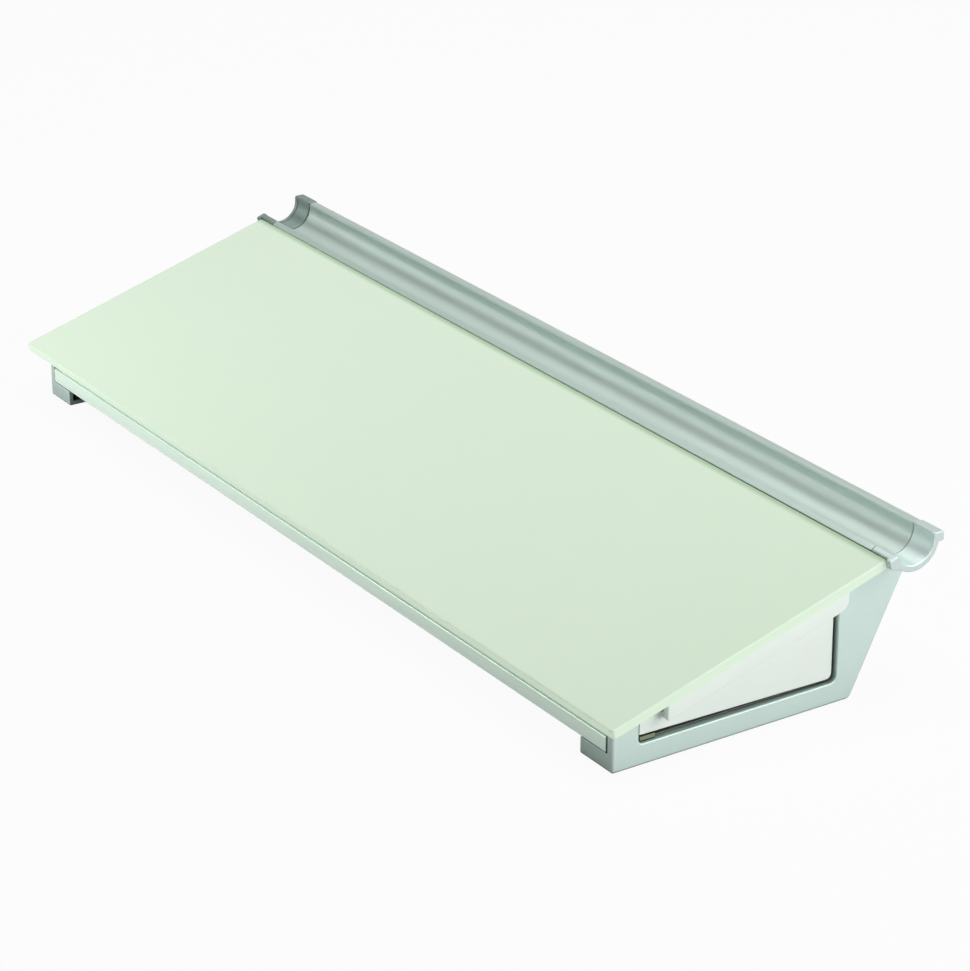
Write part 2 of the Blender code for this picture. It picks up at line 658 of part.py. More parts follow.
def make_frame(name, side, foot_width, finish, parent):
    """End frame: a web, a hollow foot beam open inwards, and a shelf under the trough's flange."""
    outer = side * FRAME_OUTER
    inner = side * FRAME_INNER
    foot_inner = side * (FRAME_OUTER - foot_width)
    frame = section(name, web_outline(), foot_inner, outer, finish, parent)
    clearing = section(name + "_clearing", clearing_outline(), foot_inner - side * OVERRUN, inner,
                       None, None)
    shape_with(frame, clearing, "DIFFERENCE")
    hollow = box_outline(FOOT_WALL, LEG_BASE - FOOT_WALL, FOOT_WALL, FOOT_TOP - FOOT_WALL)
    pocket = section(name + "_pocket", hollow, foot_inner - side * OVERRUN, inner, None, None)
    shape_with(frame, pocket, "DIFFERENCE")
    upright = [place for place in rail_screw_places(FOOT_TOP - FOOT_WALL - OVERRUN)
               + base_screw_places(FOOT_TOP - FOOT_WALL - OVERRUN) if place[0] * side > 0]
    shape_with(frame, rods(name + "_foot_holes", upright, (0, 0, 1), SHANK_RADIUS + FIT_GAP,
                           FOOT_WALL + 2 * OVERRUN), "DIFFERENCE")
    tilted = [place for place in trough_screw_places(CRADLE_DROP + SHELF_THICK + OVERRUN)
              if place[0] * side > 0]
    shape_with(frame, rods(name + "_shelf_holes", tilted, SLOPE_NORMAL, SHANK_RADIUS + FIT_GAP,
                           SHELF_THICK + 2 * OVERRUN), "DIFFERENCE")
    for row, y in enumerate(pad_rows()):
        seat = plate(f"{name}_pad_seat_{row}", pad_outline(side * SCREW_X, y, FIT_GAP),
                     -OVERRUN, PAD_SEAT, None, None)
        shape_with(frame, seat, "DIFFERENCE")
    return frame


def cut_drawer_opening(frame):
    opening = section("drawer_opening", opening_outline(), FRAME_INNER - OVERRUN,
                      FRAME_OUTER + OVERRUN, None, None)
    shape_with(frame, opening, "DIFFERENCE")


def make_foot_pads(finish, parent):
    """Four rubber pads let into the feet, standing a little proud of them."""
    top = PAD_SEAT - FIT_GAP
    for row, y in zip(("front", "rear"), pad_rows()):
        for end, side in (("right", 1), ("left", -1)):
            plate(f"foot_pad_{row}_{end}", pad_outline(side * SCREW_X, y, 0), -PAD_PROUD, top,
                  finish, parent)


def make_pan(finish, parent):
    """Bent sheet: front lip behind the rail, floor on the foot beams, back wall up to the trough."""
    front = RAIL_DEPTH + FIT_GAP
    bottom = RAIL_BOTTOM
    inset = PAN_BACK_INSET / math.cos(LEG_LEAN)
    thick = PAN_THICK / math.cos(LEG_LEAN)
    wall_outer = CRADLE_RADIUS - PAN_BACK_INSET
    wall_inner = wall_outer - PAN_THICK
    below = math.sqrt((TROUGH_OUTER + PAN_TOP_GAP) ** 2 - wall_inner ** 2)
    outline = [
        (front, bottom),
        (leg_line(bottom) - inset, bottom),
        beside_trough(wall_outer, below),
        beside_trough(wall_inner, below),
        (leg_line(SILL_TOP) - inset - thick, SILL_TOP),
        (front + PAN_THICK, SILL_TOP),
        (front + PAN_THICK, PAN_LIP_TOP),
        (front, PAN_LIP_TOP)]
    end = FRAME_INNER - FIT_GAP
    pan = section("base_pan", outline, -end, end, finish, parent)
    down_through = PAN_THICK + 2 * OVERRUN
    shape_with(pan, rods("pan_frame_holes", base_screw_places(RAIL_BOTTOM - OVERRUN), (0, 0, 1),
                         SHANK_RADIUS + FIT_GAP, down_through), "DIFFERENCE")
    small = runner_screw_places(RAIL_BOTTOM - OVERRUN) + [stop_screw_place(RAIL_BOTTOM - OVERRUN)]
    shape_with(pan, rods("pan_runner_holes", small, (0, 0, 1), SMALL_SHANK_RADIUS + FIT_GAP,
                         down_through), "DIFFERENCE")


def make_frame_screws(finish, parent):
    """Screws up through the feet into the rail and the pan, and up through the shelves."""
    seat = FOOT_TOP - FOOT_WALL - FIT_GAP
    screws(("rail_screw_left", "rail_screw_right"), rail_screw_places(seat), (0, 0, 1),
           FOOT_WALL + RAIL_WALL, BIG_SCREW, finish, parent)
    places = base_screw_places(seat)
    screws(numbered("base_screw", len(places)), places, (0, 0, 1), FOOT_WALL + PAN_THICK, BIG_SCREW,
           finish, parent)
    shelf_seat = CRADLE_DROP + SHELF_THICK + FIT_GAP
    screws(("trough_screw_left", "trough_screw_right"), trough_screw_places(shelf_seat), SLOPE_NORMAL,
           SHELF_THICK + TROUGH_WALL, BIG_SCREW, finish, parent)


def runner_rows():
    """y of the middle of each runner's foot, under the tray's edges."""
    outside = SLIDE_GAP + RUNNER_GUIDE + RUNNER_STEP
    return TRAY_FRONT - outside + RUNNER_WIDTH / 2, TRAY_REAR + outside - RUNNER_WIDTH / 2


def runner_screw_places(z):
    """Two screws in each runner: near its inner end, and clear of the right foot."""
    near = TRAY_RIGHT - RUNNER_LENGTH + RUNNER_SCREW_INSET
    far = FRAME_OUTER - FOOT_WIDTH_RIGHT - RUNNER_SCREW_INSET
    return [(x, y, z) for y in runner_rows() for x in (near, far)]


def make_runner(name, row, side, right, finish, parent):
    """Runner on the pan: a foot that the tray slides on, and a guide rib along its outer edge."""
    foot_top = RUNNER_BOTTOM + RUNNER_THICK
    left = TRAY_RIGHT - RUNNER_LENGTH
    foot = box_outline(row - RUNNER_WIDTH / 2, row + RUNNER_WIDTH / 2, RUNNER_BOTTOM, foot_top)
    runner = section(name, foot, left, right, finish, parent)
    outer = row + side * (RUNNER_WIDTH / 2 - RUNNER_STEP)
    rib = box_outline(outer - side * RUNNER_GUIDE, outer, foot_top - RUNNER_THICK / 2,
                      foot_top + RUNNER_GUIDE_RISE)
    guide = section(name + "_rib", rib, left + RUNNER_STEP, TRAY_RIGHT - RUNNER_STEP, None, None)
    shape_with(runner, guide, "UNION")
    places = [place for place in runner_screw_places(RUNNER_BOTTOM - OVERRUN) if place[1] == row]
    depth = OVERRUN + RUNNER_THICK - FIT_GAP
    shape_with(runner, rods(name + "_holes", places, (0, 0, 1), SMALL_SHANK_RADIUS + FIT_GAP, depth),
               "DIFFERENCE")


def make_runners(finish, parent):
    """Two runners; the front one's foot reaches out under the drawer front."""
    front, rear = runner_rows()
    make_runner("runner_front", front, -1, FRONT_OUTER, finish, parent)
    make_runner("runner_rear", rear, 1, TRAY_RIGHT, finish, parent)


def stop_left():
    """x of the stop block's left face, where the tray's tab arrives."""
    return TAB_LEFT + TAB_LENGTH + DRAWER_TRAVEL + FIT_GAP


def stop_screw_place(z):
    return (stop_left() + STOP_LENGTH / 2, TRAY_MIDDLE, z)


def make_stop(finish, steel, parent):
    """Stop block on the pan, below the tray's floor, and its screw."""
    left = stop_left()
    outline = box_outline(TRAY_MIDDLE - STOP_WIDTH / 2, TRAY_MIDDLE + STOP_WIDTH / 2,
                          RUNNER_BOTTOM, RUNNER_BOTTOM + RUNNER_THICK)
    block = section("stop_block", outline, left, left + STOP_LENGTH, finish, parent)
    depth = OVERRUN + RUNNER_THICK - FIT_GAP
    shape_with(block, rods("stop_hole", [stop_screw_place(RUNNER_BOTTOM - OVERRUN)], (0, 0, 1),
                           SMALL_SHANK_RADIUS + FIT_GAP, depth), "DIFFERENCE")
    seat = RAIL_BOTTOM - FIT_GAP
    length = PAN_THICK + RUNNER_THICK - FIT_GAP
    screws(["stop_screw"], [stop_screw_place(seat)], (0, 0, 1), length, SMALL_SCREW, steel, parent)
    places = runner_screw_places(seat)
    screws(numbered("runner_screw", len(places)), places, (0, 0, 1), length, SMALL_SCREW, steel, parent)


def tray_screw_places(x):
    """Screws from the tray into the drawer front, in a level row above the floor."""
    z = TRAY_BOTTOM + TRAY_WALL + TRAY_SCREW_RISE
    rear = TRAY_REAR - TRAY_SCREW_INSET
    return [(x, rear - step * TRAY_SCREW_PITCH, z) for step in range(TRAY_SCREWS)]


def make_tray(finish, parent):
    """Open wedge-shaped tray with a stop tab under its inner end."""
    outline = rounded([
        (TRAY_FRONT, TRAY_BOTTOM, TRAY_ROUND),
        (TRAY_REAR, TRAY_BOTTOM, TRAY_ROUND),
        (TRAY_REAR, slope_height(TRAY_REAR, DRAWER_DROP), 0),
        (TRAY_FRONT, slope_height(TRAY_FRONT, DRAWER_DROP), 0)])
    tray = section("drawer_tray", outline, TRAY_LEFT, TRAY_RIGHT, finish, parent)
    front = TRAY_FRONT + TRAY_WALL
    rear = TRAY_REAR - TRAY_WALL
    inside_outline = rounded([
        (front, TRAY_BOTTOM + TRAY_WALL, TRAY_ROUND),
        (rear, TRAY_BOTTOM + TRAY_WALL, TRAY_ROUND),
        (rear, slope_height(rear, 0), 0),
        (front, slope_height(front, 0), 0)])
    inside = section("tray_inside", inside_outline, TRAY_LEFT + TRAY_WALL, TRAY_RIGHT - TRAY_WALL,
                     None, None)
    shape_with(tray, inside, "DIFFERENCE")
    tab_outline = box_outline(TRAY_MIDDLE - STOP_WIDTH / 2, TRAY_MIDDLE + STOP_WIDTH / 2,
                              RUNNER_BOTTOM, TRAY_BOTTOM + TRAY_WALL / 2)
    tab = section("tray_tab", tab_outline, TAB_LEFT, TAB_LEFT + TAB_LENGTH, None, None)
    shape_with(tray, tab, "UNION")
    places = tray_screw_places(TRAY_RIGHT - TRAY_WALL - OVERRUN)
    shape_with(tray, rods("tray_screw_holes", places, (1, 0, 0), SMALL_SHANK_RADIUS + FIT_GAP,
                          TRAY_WALL + 2 * OVERRUN), "DIFFERENCE")


def make_drawer_front(finish, parent):
    """Wedge-shaped face in the opening, with a finger lip that stands over the frame."""
    front_edge = OPENING_FRONT + FRONT_SIDE_GAP
    rear_edge = OPENING_REAR - FRONT_SIDE_GAP
    outline = rounded([
        (front_edge, SILL_TOP + FRONT_FOOT_GAP, 0),
        (rear_edge, SILL_TOP + FRONT_HEEL_GAP, FRONT_ROUND),
        (rear_edge, slope_height(rear_edge, DRAWER_DROP), 0),
        (front_edge, slope_height(front_edge, DRAWER_DROP), 0)])
    face = section("drawer_front", outline, FRONT_INNER, FRONT_OUTER, finish, parent)
    lip_outline = rounded([
        (LIP_FRONT, slope_height(LIP_FRONT, LIP_DEPTH), LIP_CORNER),
        (LIP_REAR, slope_height(LIP_REAR, LIP_DEPTH), LIP_ROUND),
        (LIP_REAR, slope_height(LIP_REAR, LIP_TOP_GAP), LIP_CORNER),
        (LIP_FRONT, slope_height(LIP_FRONT, LIP_TOP_GAP), LIP_CORNER)])
    lip = section("drawer_lip", lip_outline, LIP_INNER, LIP_INNER + LIP_THICK, None, None)
    soften(lip, LIP_EDGE, 2)
    neck_rear = rear_edge - LIP_ROUND / 2
    neck_outline = [
        (LIP_FRONT + LIP_EDGE, slope_height(LIP_FRONT + LIP_EDGE, LIP_DEPTH - LIP_EDGE)),
        (neck_rear, slope_height(neck_rear, LIP_DEPTH - LIP_EDGE)),
        (neck_rear, slope_height(neck_rear, DRAWER_DROP + LIP_EDGE / 2)),
        (LIP_FRONT + LIP_EDGE, slope_height(LIP_FRONT + LIP_EDGE, DRAWER_DROP + LIP_EDGE / 2))]
    neck = section("lip_neck", neck_outline, FRONT_OUTER - OVERRUN, LIP_INNER + OVERRUN, None, None)
    shape_with(face, neck, "UNION")
    shape_with(face, lip, "UNION")
    places = tray_screw_places(FRONT_INNER - OVERRUN)
    depth = OVERRUN + FRONT_THICK - SCREW_SKIN
    shape_with(face, rods("front_screw_holes", places, (1, 0, 0), SMALL_SHANK_RADIUS + FIT_GAP, depth),
               "DIFFERENCE")


def make_drawer_screws(finish, parent):
    """Screws from inside the tray into the drawer front."""
    seat = TRAY_RIGHT - TRAY_WALL - FIT_GAP
    length = TRAY_WALL + FRONT_THICK - SCREW_SKIN
    places = tray_screw_places(seat)
    screws(numbered("drawer_front_screw", len(places)), places, (1, 0, 0), length, SMALL_SCREW,
           finish, parent)


def make_empty(name, place, parent):
    empty = bpy.data.objects.new(name, None)
    bpy.context.collection.objects.link(empty)
    empty.location = place
    empty.parent = parent
    return empty


def clear_scene():
    for item in list(bpy.data.objects):
        bpy.data.objects.remove(item, do_unlink=True)


def main():
    clear_scene()
    glass_white = material("back_painted_glass", GLASS_WHITE, 0.12, 0)
    drawer_white = material("white_moulded_plastic", DRAWER_WHITE, 0.40, 0)
    silver_paint = material("silver_painted_plastic", SILVER_PAINT, 0.42, 0.35)
    silver_metal = material("satin_anodised_aluminium", SILVER_METAL, 0.38, 0.70)
    sheet_white = material("painted_sheet", SHEET_WHITE, 0.50, 0)
    tape_grey = material("foam_bonding_tape", TAPE_GREY, 0.80, 0)
    steel_grey = material("zinc_plated_steel", STEEL_GREY, 0.35, 1)
    rubber_black = material("foot_rubber", RUBBER_BLACK, 0.85, 0)

    pad = make_empty("pad_origin", (0, -FOOTPRINT_MIDDLE, PAD_PROUD), None)
    drawer = make_empty("drawer_slide_axis", (0, 0, 0), pad)

    make_glass(glass_white, pad)
    make_tapes(tape_grey, pad)
    make_deck(sheet_white, pad)
    make_deck_screws(steel_grey, pad)
    make_rail(silver_metal, pad)
    make_trough(silver_metal, pad)
    make_cap("trough_end_cap_right", 1, silver_paint, pad)
    make_cap("trough_end_cap_left", -1, silver_paint, pad)
    cut_drawer_opening(make_frame("end_frame_right", 1, FOOT_WIDTH_RIGHT, silver_paint, pad))
    make_frame("end_frame_left", -1, FOOT_WIDTH_LEFT, silver_paint, pad)
    make_foot_pads(rubber_black, pad)
    make_pan(sheet_white, pad)
    make_frame_screws(steel_grey, pad)
    make_runners(drawer_white, pad)
    make_stop(drawer_white, steel_grey, pad)
    make_tray(drawer_white, drawer)
    make_drawer_front(drawer_white, drawer)
    make_drawer_screws(steel_grey, drawer)


if __name__ == "__main__":
    main()
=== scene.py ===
"""Looks of the desktop dry-erase pad: glass panel, pen trough, end frames, side drawer and its fittings.

Laid out as a Blender add-on and run as a script. Metres, +Z up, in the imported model's own frame.
Sections are worked out in (y, z) from the feet's front face and underside, then put in place.
"""

import json
import math

import bmesh
import bpy
import numpy as np
from bpy.props import FloatProperty, FloatVectorProperty, IntProperty, PointerProperty
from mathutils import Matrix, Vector

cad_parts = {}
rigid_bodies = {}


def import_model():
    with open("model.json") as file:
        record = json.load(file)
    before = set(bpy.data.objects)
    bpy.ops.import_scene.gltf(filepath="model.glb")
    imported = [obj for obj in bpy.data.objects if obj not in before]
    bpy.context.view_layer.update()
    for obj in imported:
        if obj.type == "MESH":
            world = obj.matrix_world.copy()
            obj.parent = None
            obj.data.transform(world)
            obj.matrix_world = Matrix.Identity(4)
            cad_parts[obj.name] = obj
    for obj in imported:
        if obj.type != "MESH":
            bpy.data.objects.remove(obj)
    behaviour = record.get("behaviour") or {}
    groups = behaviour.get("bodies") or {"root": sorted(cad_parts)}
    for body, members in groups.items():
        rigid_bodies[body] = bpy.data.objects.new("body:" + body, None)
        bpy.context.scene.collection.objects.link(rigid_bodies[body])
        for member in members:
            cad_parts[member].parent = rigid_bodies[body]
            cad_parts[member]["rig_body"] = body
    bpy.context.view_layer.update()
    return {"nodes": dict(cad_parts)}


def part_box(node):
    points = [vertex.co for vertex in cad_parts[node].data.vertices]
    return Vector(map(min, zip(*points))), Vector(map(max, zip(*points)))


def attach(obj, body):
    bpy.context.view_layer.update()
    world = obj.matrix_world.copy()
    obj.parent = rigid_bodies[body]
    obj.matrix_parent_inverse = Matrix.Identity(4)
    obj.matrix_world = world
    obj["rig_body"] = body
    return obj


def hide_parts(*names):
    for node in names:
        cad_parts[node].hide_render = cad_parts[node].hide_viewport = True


bl_info = {
    "name": "Desktop dry-erase pad",
    "version": (1, 0, 0),
    "blender": (4, 5, 0),
    "location": "View3D > Sidebar > Dry-erase pad",
    "description": "Builds the finished surfaces and materials of a desktop dry-erase pad",
    "category": "Object",
}

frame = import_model()

MM = 0.001
FEET_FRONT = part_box("end_frame_right")[0].y
FEET_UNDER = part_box("end_frame_right")[0].z
PAD = "pad"
SMOOTH_ANGLE = math.radians(40)  # a sharper edge is creased, and rounded on a softened copy
FLAT_ANGLE = math.radians(0.5)  # triangles that meet at less are one face
WELD = 0.002 * MM  # points this close in a CAD mesh are one
POINT_GAP = 0.001 * MM  # points this close in an outline are one
FIT = 0.01 * MM  # corners this close to a face's plane are on it
TINY = 1e-12  # least length that is divided by
MITRE_LEAST = 0.2  # least that a mitre divides by, so that no corner shoots out
GAP_REACH = 4 * MM  # width of gap that is shaded
FALLING = {"To Min": 1.0, "To Max": 0.0}  # a range that falls as its value rises
ON_FEET = (0, FEET_FRONT, FEET_UNDER)
SECTION_AXES = ((0, 1, 0), (0, 0, 1), (1, 0, 0))


def linear(colour):
    """sRGB hex, as a painter picks it, to linear red, green and blue."""
    value = np.array([int(colour[place:place + 2], 16) for place in (1, 3, 5)]) / 255
    return tuple(np.where(value <= 0.04045, value / 12.92, ((value + 0.055) / 1.055) ** 2.4).tolist())


def length(name, what, size):
    return FloatProperty(name=name, description=what, default=size * MM, min=0, unit="LENGTH", precision=5)


def turn(name, what, degrees):
    return FloatProperty(name=name, description=what, default=math.radians(degrees), unit="ROTATION")


def colour(name, what, value):
    return FloatVectorProperty(name=name, description=what, default=linear(value), subtype="COLOR",
                               size=3, min=0, max=1)


class PadSizes(bpy.types.PropertyGroup):
    """Sizes of the pad's finished surfaces."""

    glass_front: length("Glass front", "Its lower edge, in front of the feet", 5.7)
    glass_rise: length("Glass rise", "Its lower edge, above the feet's underside", 19.4)
    glass_tilt: turn("Glass tilt", "Slope of the writing surface", 16.13)
    glass_depth: length("Glass depth", "Front to rear along the slope", 129.1)
    glass_thick: length("Glass thickness", "Thickness of the panel", 4.0)
    glass_corner: length("Glass corner", "Radius of the four corners", 1.2)
    glass_arris: length("Glass arris", "Polished round along every edge", 0.6)
    # Width of the band of painted shade inside the glass's rear edge
    rear_shade_band: length("Glass border", "Width of the darker border at the rear edge", 4.5)
    trough_gap: length("Trough gap", "Between the glass's rear edge and the trough's front wall", 0.4)
    trough_radius: length("Trough radius", "Inside of the pen channel", 9.2)
    trough_wall: length("Trough wall", "Wall of the extrusion", 1.8)
    trough_back: length("Trough back", "From the trough's front wall to its centre along the slope", 11.8)
    trough_rise: length("Trough rise", "Its centre above the glass's underside", 5.25)
    trough_front_turn: turn("Trough front", "Below level, where the inside starts behind the glass", 20.5)
    flange: length("Trough flange", "How far it runs forward under the deck", 13.0)
    bead_rise: length("Bead rise", "The bead's top above the trough's centre", 1.8)
    bead_depth: length("Bead depth", "Width of the rear bead", 4.1)
    bead_height: length("Bead height", "Height of the rear bead", 3.5)
    bead_round: length("Bead round", "Round of the bead's edges", 0.9)
    cap_proud: length("Cap proud", "How far an end cap stands over the trough", 0.3)
    cap_lip: length("Cap lip", "Depth of the cap's front lip", 3.3)
    cap_front_turn: turn("Cap front", "From straight down, where the cap's front meets its round", 30)
    cap_corner: length("Cap corner", "Round of the cap's front edges", 0.8)
    cap_round: length("Cap round", "Round of the cap's rim", 0.4)
    ring_lip: length("Ring lip", "How far the cap's end ring stands in", 0.25)
    ring_width: length("Ring width", "Width of the cap's end ring", 2.3)
    ring_ahead: length("Ring ahead", "How far the end ring reaches past the glass's rear edge", 1.3)
    cap_joint: length("Cap joint", "Gap between the trough's end and the cap", 0.6)
    shelf_drop: length("Shelf drop", "From the glass's underside to the flanges' tops", 2.7)
    rail_wall: length("Rail wall", "Wall of the front rail", 1.8)
    rail_depth: length("Rail depth", "Depth of its flanges", 9.0)
    rail_bottom: length("Rail bottom", "Its underside above the feet's", 7.3)
    rail_face: length("Rail face", "Top of its face above the feet's underside", 13.6)
    rail_groove: length("Rail groove", "How far the wall steps back above the face", 1.6)
    rail_jog: length("Rail jog", "Wall where it steps back", 1.26)
    rail_round: length("Rail round", "Round of its corners, and of the trough's front edge", 0.4)
    rail_end_gap: length("Rail end gap", "How much shorter its right end is than the CAD rail's", 0.5)
    root_round: length("Root round", "Round where the trough's walls meet", 0.3)
    free_round: length("Free round", "Round of the free edges of extrusions, sheet and cap joints", 0.2)
    cut_round: length("Cut round", "Round of the sawn ends of extrusions and sheet", 0.15)
    sheet_thick: length("Pan thickness", "Thickness of the bent sheet", 1.5)
    pan_lip: length("Pan lip", "Top of its front lip above the feet's underside", 14.0)
    leg_lean: turn("Leg lean", "Lean of the rear legs and the pan's back wall", 26.5)
    sheet_bend: length("Pan bend", "Inside radius of the sheet's bends", 1.0)
    frame_corner: length("Frame corner", "Round along the outer faces' outlines", 0.9)
    moulded_round: length("Moulded edge", "Round of the end frames' other edges", 0.5)
    drawer_round: length("Drawer edge", "Round of the drawer's edges", 0.3)
    fitting_round: length("Fitting edge", "Round of the runners' and the stop's edges", 0.2)
    pad_round: length("Pad edge", "Round of the foot pads' edges", 0.15)
    arc_steps: IntProperty(name="Arc steps", description="Facets in a small round", default=8, min=2)
    ring_steps: IntProperty(name="Ring steps", description="Facets round the trough", default=72, min=12)


class PadColours(bpy.types.PropertyGroup):
    """Colours of the pad's finishes."""

    glass: colour("Glass", "Paint behind the glass, seen through it", "#D5E7D1")
    glass_edge: colour("Glass edge", "The ground edge, seen from its side", "#A4B4A2")
    # Darker tone of the glass's rear edge, partly painted shade
    glass_rear_edge_shade: colour("Deep glass", "The rear edge, seen through the glass's depth", "#6F9478")
    # Colour of the band of painted shade inside the glass's rear edge
    rear_shade_band: colour("Glass border", "Paint seen through the deep glass near the rear edge", "#A3BF9D")
    # Colour of the painted glow on the glass's edges
    glass_edge_glow: colour("Led light", "Light that the glass carries to its edges", "#DCEFD9")
    rail: colour("Rail", "Front rail", "#DEF0E3")
    collar: colour("Collar", "End caps of the trough", "#CFDEDB")
    # Lighter tone inside the end caps, partly painted light
    collar_inside_lit: colour("Collar inside", "Inside of the end caps", "#DAEAE6")
    # Painted shade multiplied over the whole left end cap
    left_cap_shade: colour("Far collar", "Tint over the left end cap, darker in the photo", "#BAC3BF")
    silver: colour("Silver paint", "End frames", "#D3E6E0")
    # Lighter tone of the flakes, a painted glint
    silver_flake_glint: colour("Silver flake", "Flakes in the paint", "#E4EEEA")
    aluminium: colour("Aluminium", "Trough", "#D2E3DB")
    drawer: colour("White plastic", "Drawer and its front", "#E6EEE7")
    # Olive tone of the runners and stop, darkened partly as painted shade
    acetal_in_shade: colour("Acetal", "Runners and stop", "#7F8A6C")
    sheet: colour("Sheet", "Pan and deck", "#D4D9D6")
    tape: colour("Tape", "Foam bonding tape", "#5E6360")
    rubber: colour("Rubber", "Foot pads", "#26282A")
    zinc: colour("Zinc", "Screws", "#BFC4C6")
    shade: colour("Shade", "Narrow gaps", "#2E3A31")
    floor: colour("Floor", "The floor under the pad", "#B9B9B9")


def sizes():
    return bpy.context.scene.dry_pad_sizes


def colours():
    return bpy.context.scene.dry_pad_colours


# Outlines in the plane of a section

def unit(vectors):
    return vectors / np.maximum(np.linalg.norm(vectors, axis=-1, keepdims=True), TINY)


def outline_through(corners, steps=None):
    """Closed outline through (a, b, radius) corners: each corner becomes an arc whose centre lies on the
    corner's bisector, radius / sin(half the corner's angle) away. It runs anticlockwise."""
    corners = np.asarray(corners, float)
    here, radius = corners[:, :2], corners[:, 2:]
    back = unit(np.roll(here, 1, 0) - here)
    ahead = unit(np.roll(here, -1, 0) - here)
    half = np.arccos(np.clip((back * ahead).sum(1, keepdims=True), -1, 1)) / 2
    centre = here + unit(back + ahead) * radius / np.sin(half)
    start = here + back * radius / np.tan(half) - centre
    side = np.sign(back[:, :1] * ahead[:, 1:] - back[:, 1:] * ahead[:, :1])
    angle = -side * (np.pi - 2 * half) * np.linspace(0, 1, (steps or sizes().arc_steps) + 1)
    swung = np.stack([start[:, :1] * np.cos(angle) - start[:, 1:] * np.sin(angle),
                      start[:, :1] * np.sin(angle) + start[:, 1:] * np.cos(angle)], axis=-1)
    points = (centre[:, None] + swung).reshape(-1, 2)
    points = points[np.linalg.norm(points - np.roll(points, 1, 0), axis=1) > POINT_GAP]
    ahead = np.roll(points, -1, 0)
    area = (points[:, 0] * ahead[:, 1] - points[:, 1] * ahead[:, 0]).sum()
    return points if area > 0 else points[::-1]


def inset(outline, by):
    """Outline moved inwards: each point slides along its mitred normal."""
    edge = unit(np.roll(outline, -1, 0) - outline)
    out = np.stack([edge[:, 1], -edge[:, 0]], axis=1)
    both = out + np.roll(out, 1, 0)
    return outline - by * both / np.maximum((both * out).sum(1, keepdims=True), MITRE_LEAST)


def arc(centre, radius, start, end, steps):
    """Corners without a round along an arc: (y, z) = centre + radius (sin t, -cos t), t from straight down
    towards the rear."""
    angle = np.linspace(start, end, steps + 1)
    return np.stack([centre[0] + radius * np.sin(angle), centre[1] - radius * np.cos(angle),
                     np.zeros(steps + 1)], axis=1)


def slope_axes():
    """Rearwards along the glass and square to it, in (x, y, z)."""
    cos, sin = math.cos(sizes().glass_tilt), math.sin(sizes().glass_tilt)
    return (0, cos, sin), (0, -sin, cos)


def on_slope(along, above, rounding=0.0):
    """(y, z, radius) of a corner given along the glass from its front edge and above its underside."""
    size, (_, cos, sin) = sizes(), slope_axes()[0]
    return (-size.glass_front + along * cos - above * sin, size.glass_rise + along * sin + above * cos,
            rounding)


def slope_height(y, drop):
    """Height at y of the plane that lies `drop` under the glass's underside."""
    size = sizes()
    level = size.glass_rise + (y + size.glass_front) * math.tan(size.glass_tilt)
    return level - drop / math.cos(size.glass_tilt)


# Surfaces

def rim(start, end, rounding, steps=6):
    """Rings of a prism with rounded ends: place = end - r + r sin t and inset = r - r cos t, t from 0 to 90
    degrees, with the same at the start."""
    t = np.linspace(0, np.pi / 2, steps + 1)
    turned = rounding * np.sin(t)
    place = np.concatenate([start + rounding - turned[::-1], end - rounding + turned])
    pulled = rounding - rounding * np.cos(t)
    return place, np.concatenate([pulled[::-1], pulled])


def bands(rows, count):
    """Quads between rows of points, each row a closed ring of count points."""
    row, column = np.meshgrid(np.arange(rows - 1), np.arange(count), indexing="ij")
    near, far, after = row * count, (row + 1) * count, (column + 1) % count
    quads = np.stack([near + column, near + after, far + after, far + column], axis=-1)
    return quads.reshape(-1, 4).tolist()


def carried(outline, places, pulls, origin=ON_FEET, axes=SECTION_AXES):
    """Points and faces of an outline carried along the third axis: point(s, t) = origin + a(s) A + b(s) B
    + place(t) C, with (a, b) pulled in by pull(t) and flat ends. There may be an outline for each place."""
    outlines = np.broadcast_to(outline, (len(pulls), *np.shape(outline)[-2:]))
    rings = np.stack([inset(one, pull) for one, pull in zip(outlines, pulls)])
    rows, count = rings.shape[:2]
    depth = np.broadcast_to(np.asarray(places)[:, None, None], (rows, count, 1))
    points = np.concatenate([rings, depth], axis=2).reshape(-1, 3) @ np.asarray(axes, float) + origin
    ends = [np.arange(count)[::-1].tolist(), ((rows - 1) * count + np.arange(count)).tolist()]
    return points, bands(rows, count) + ends


def revolved(profile, sides, origin, way, dent):
    """Points and faces of a (radius, height) profile turned about an axis: point(s, t) = origin
    + r(t) (cos s, sin s) + h(t) axis, with dent(points) added to the height. Both ends lie on the axis."""
    basis = np.array(Vector(way).to_track_quat("Z", "Y").to_matrix()).T
    radius, height = np.asarray(profile, float).T
    first = np.arange(sides)
    angle = first * 2 * np.pi / sides
    x, y = radius[1:-1, None] * np.cos(angle), radius[1:-1, None] * np.sin(angle)
    body = np.stack([x, y, np.broadcast_to(height[1:-1, None], x.shape)], axis=-1).reshape(-1, 3)
    local = np.vstack([body, [[0, 0, height[0]], [0, 0, height[-1]]]])
    local[:, 2] += dent(local)
    rows, after = len(radius) - 2, (first + 1) % sides
    last = (rows - 1) * sides
    start = np.stack([np.full(sides, rows * sides), after, first], axis=1)
    end = np.stack([np.full(sides, rows * sides + 1), last + first, last + after], axis=1)
    return local @ basis + origin, bands(rows, sides) + start.tolist() + end.tolist()


def piece(name, shape, finish, body, node):
    """Object from points and faces that stands for a CAD node and rides on a body."""
    points, faces = shape
    mesh = bpy.data.meshes.new(name)
    mesh.from_pydata(points, [], faces)
    solid = bmesh.new()
    solid.from_mesh(mesh)
    if solid.calc_volume(signed=True) < 0:
        mesh.flip_normals()
    solid.free()
    return dressed(name, mesh, finish, body, node)


def extruded(name, outline, finish, node, shorter=0.0):
    """Section carried along X between the CAD node's ends, or to a little short of the right one."""
    low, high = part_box(node)
    places, pulls = rim(low.x, high.x - shorter, sizes().cut_round, 3)
    return piece(name, carried(outline, places, pulls), finish, PAD, node)


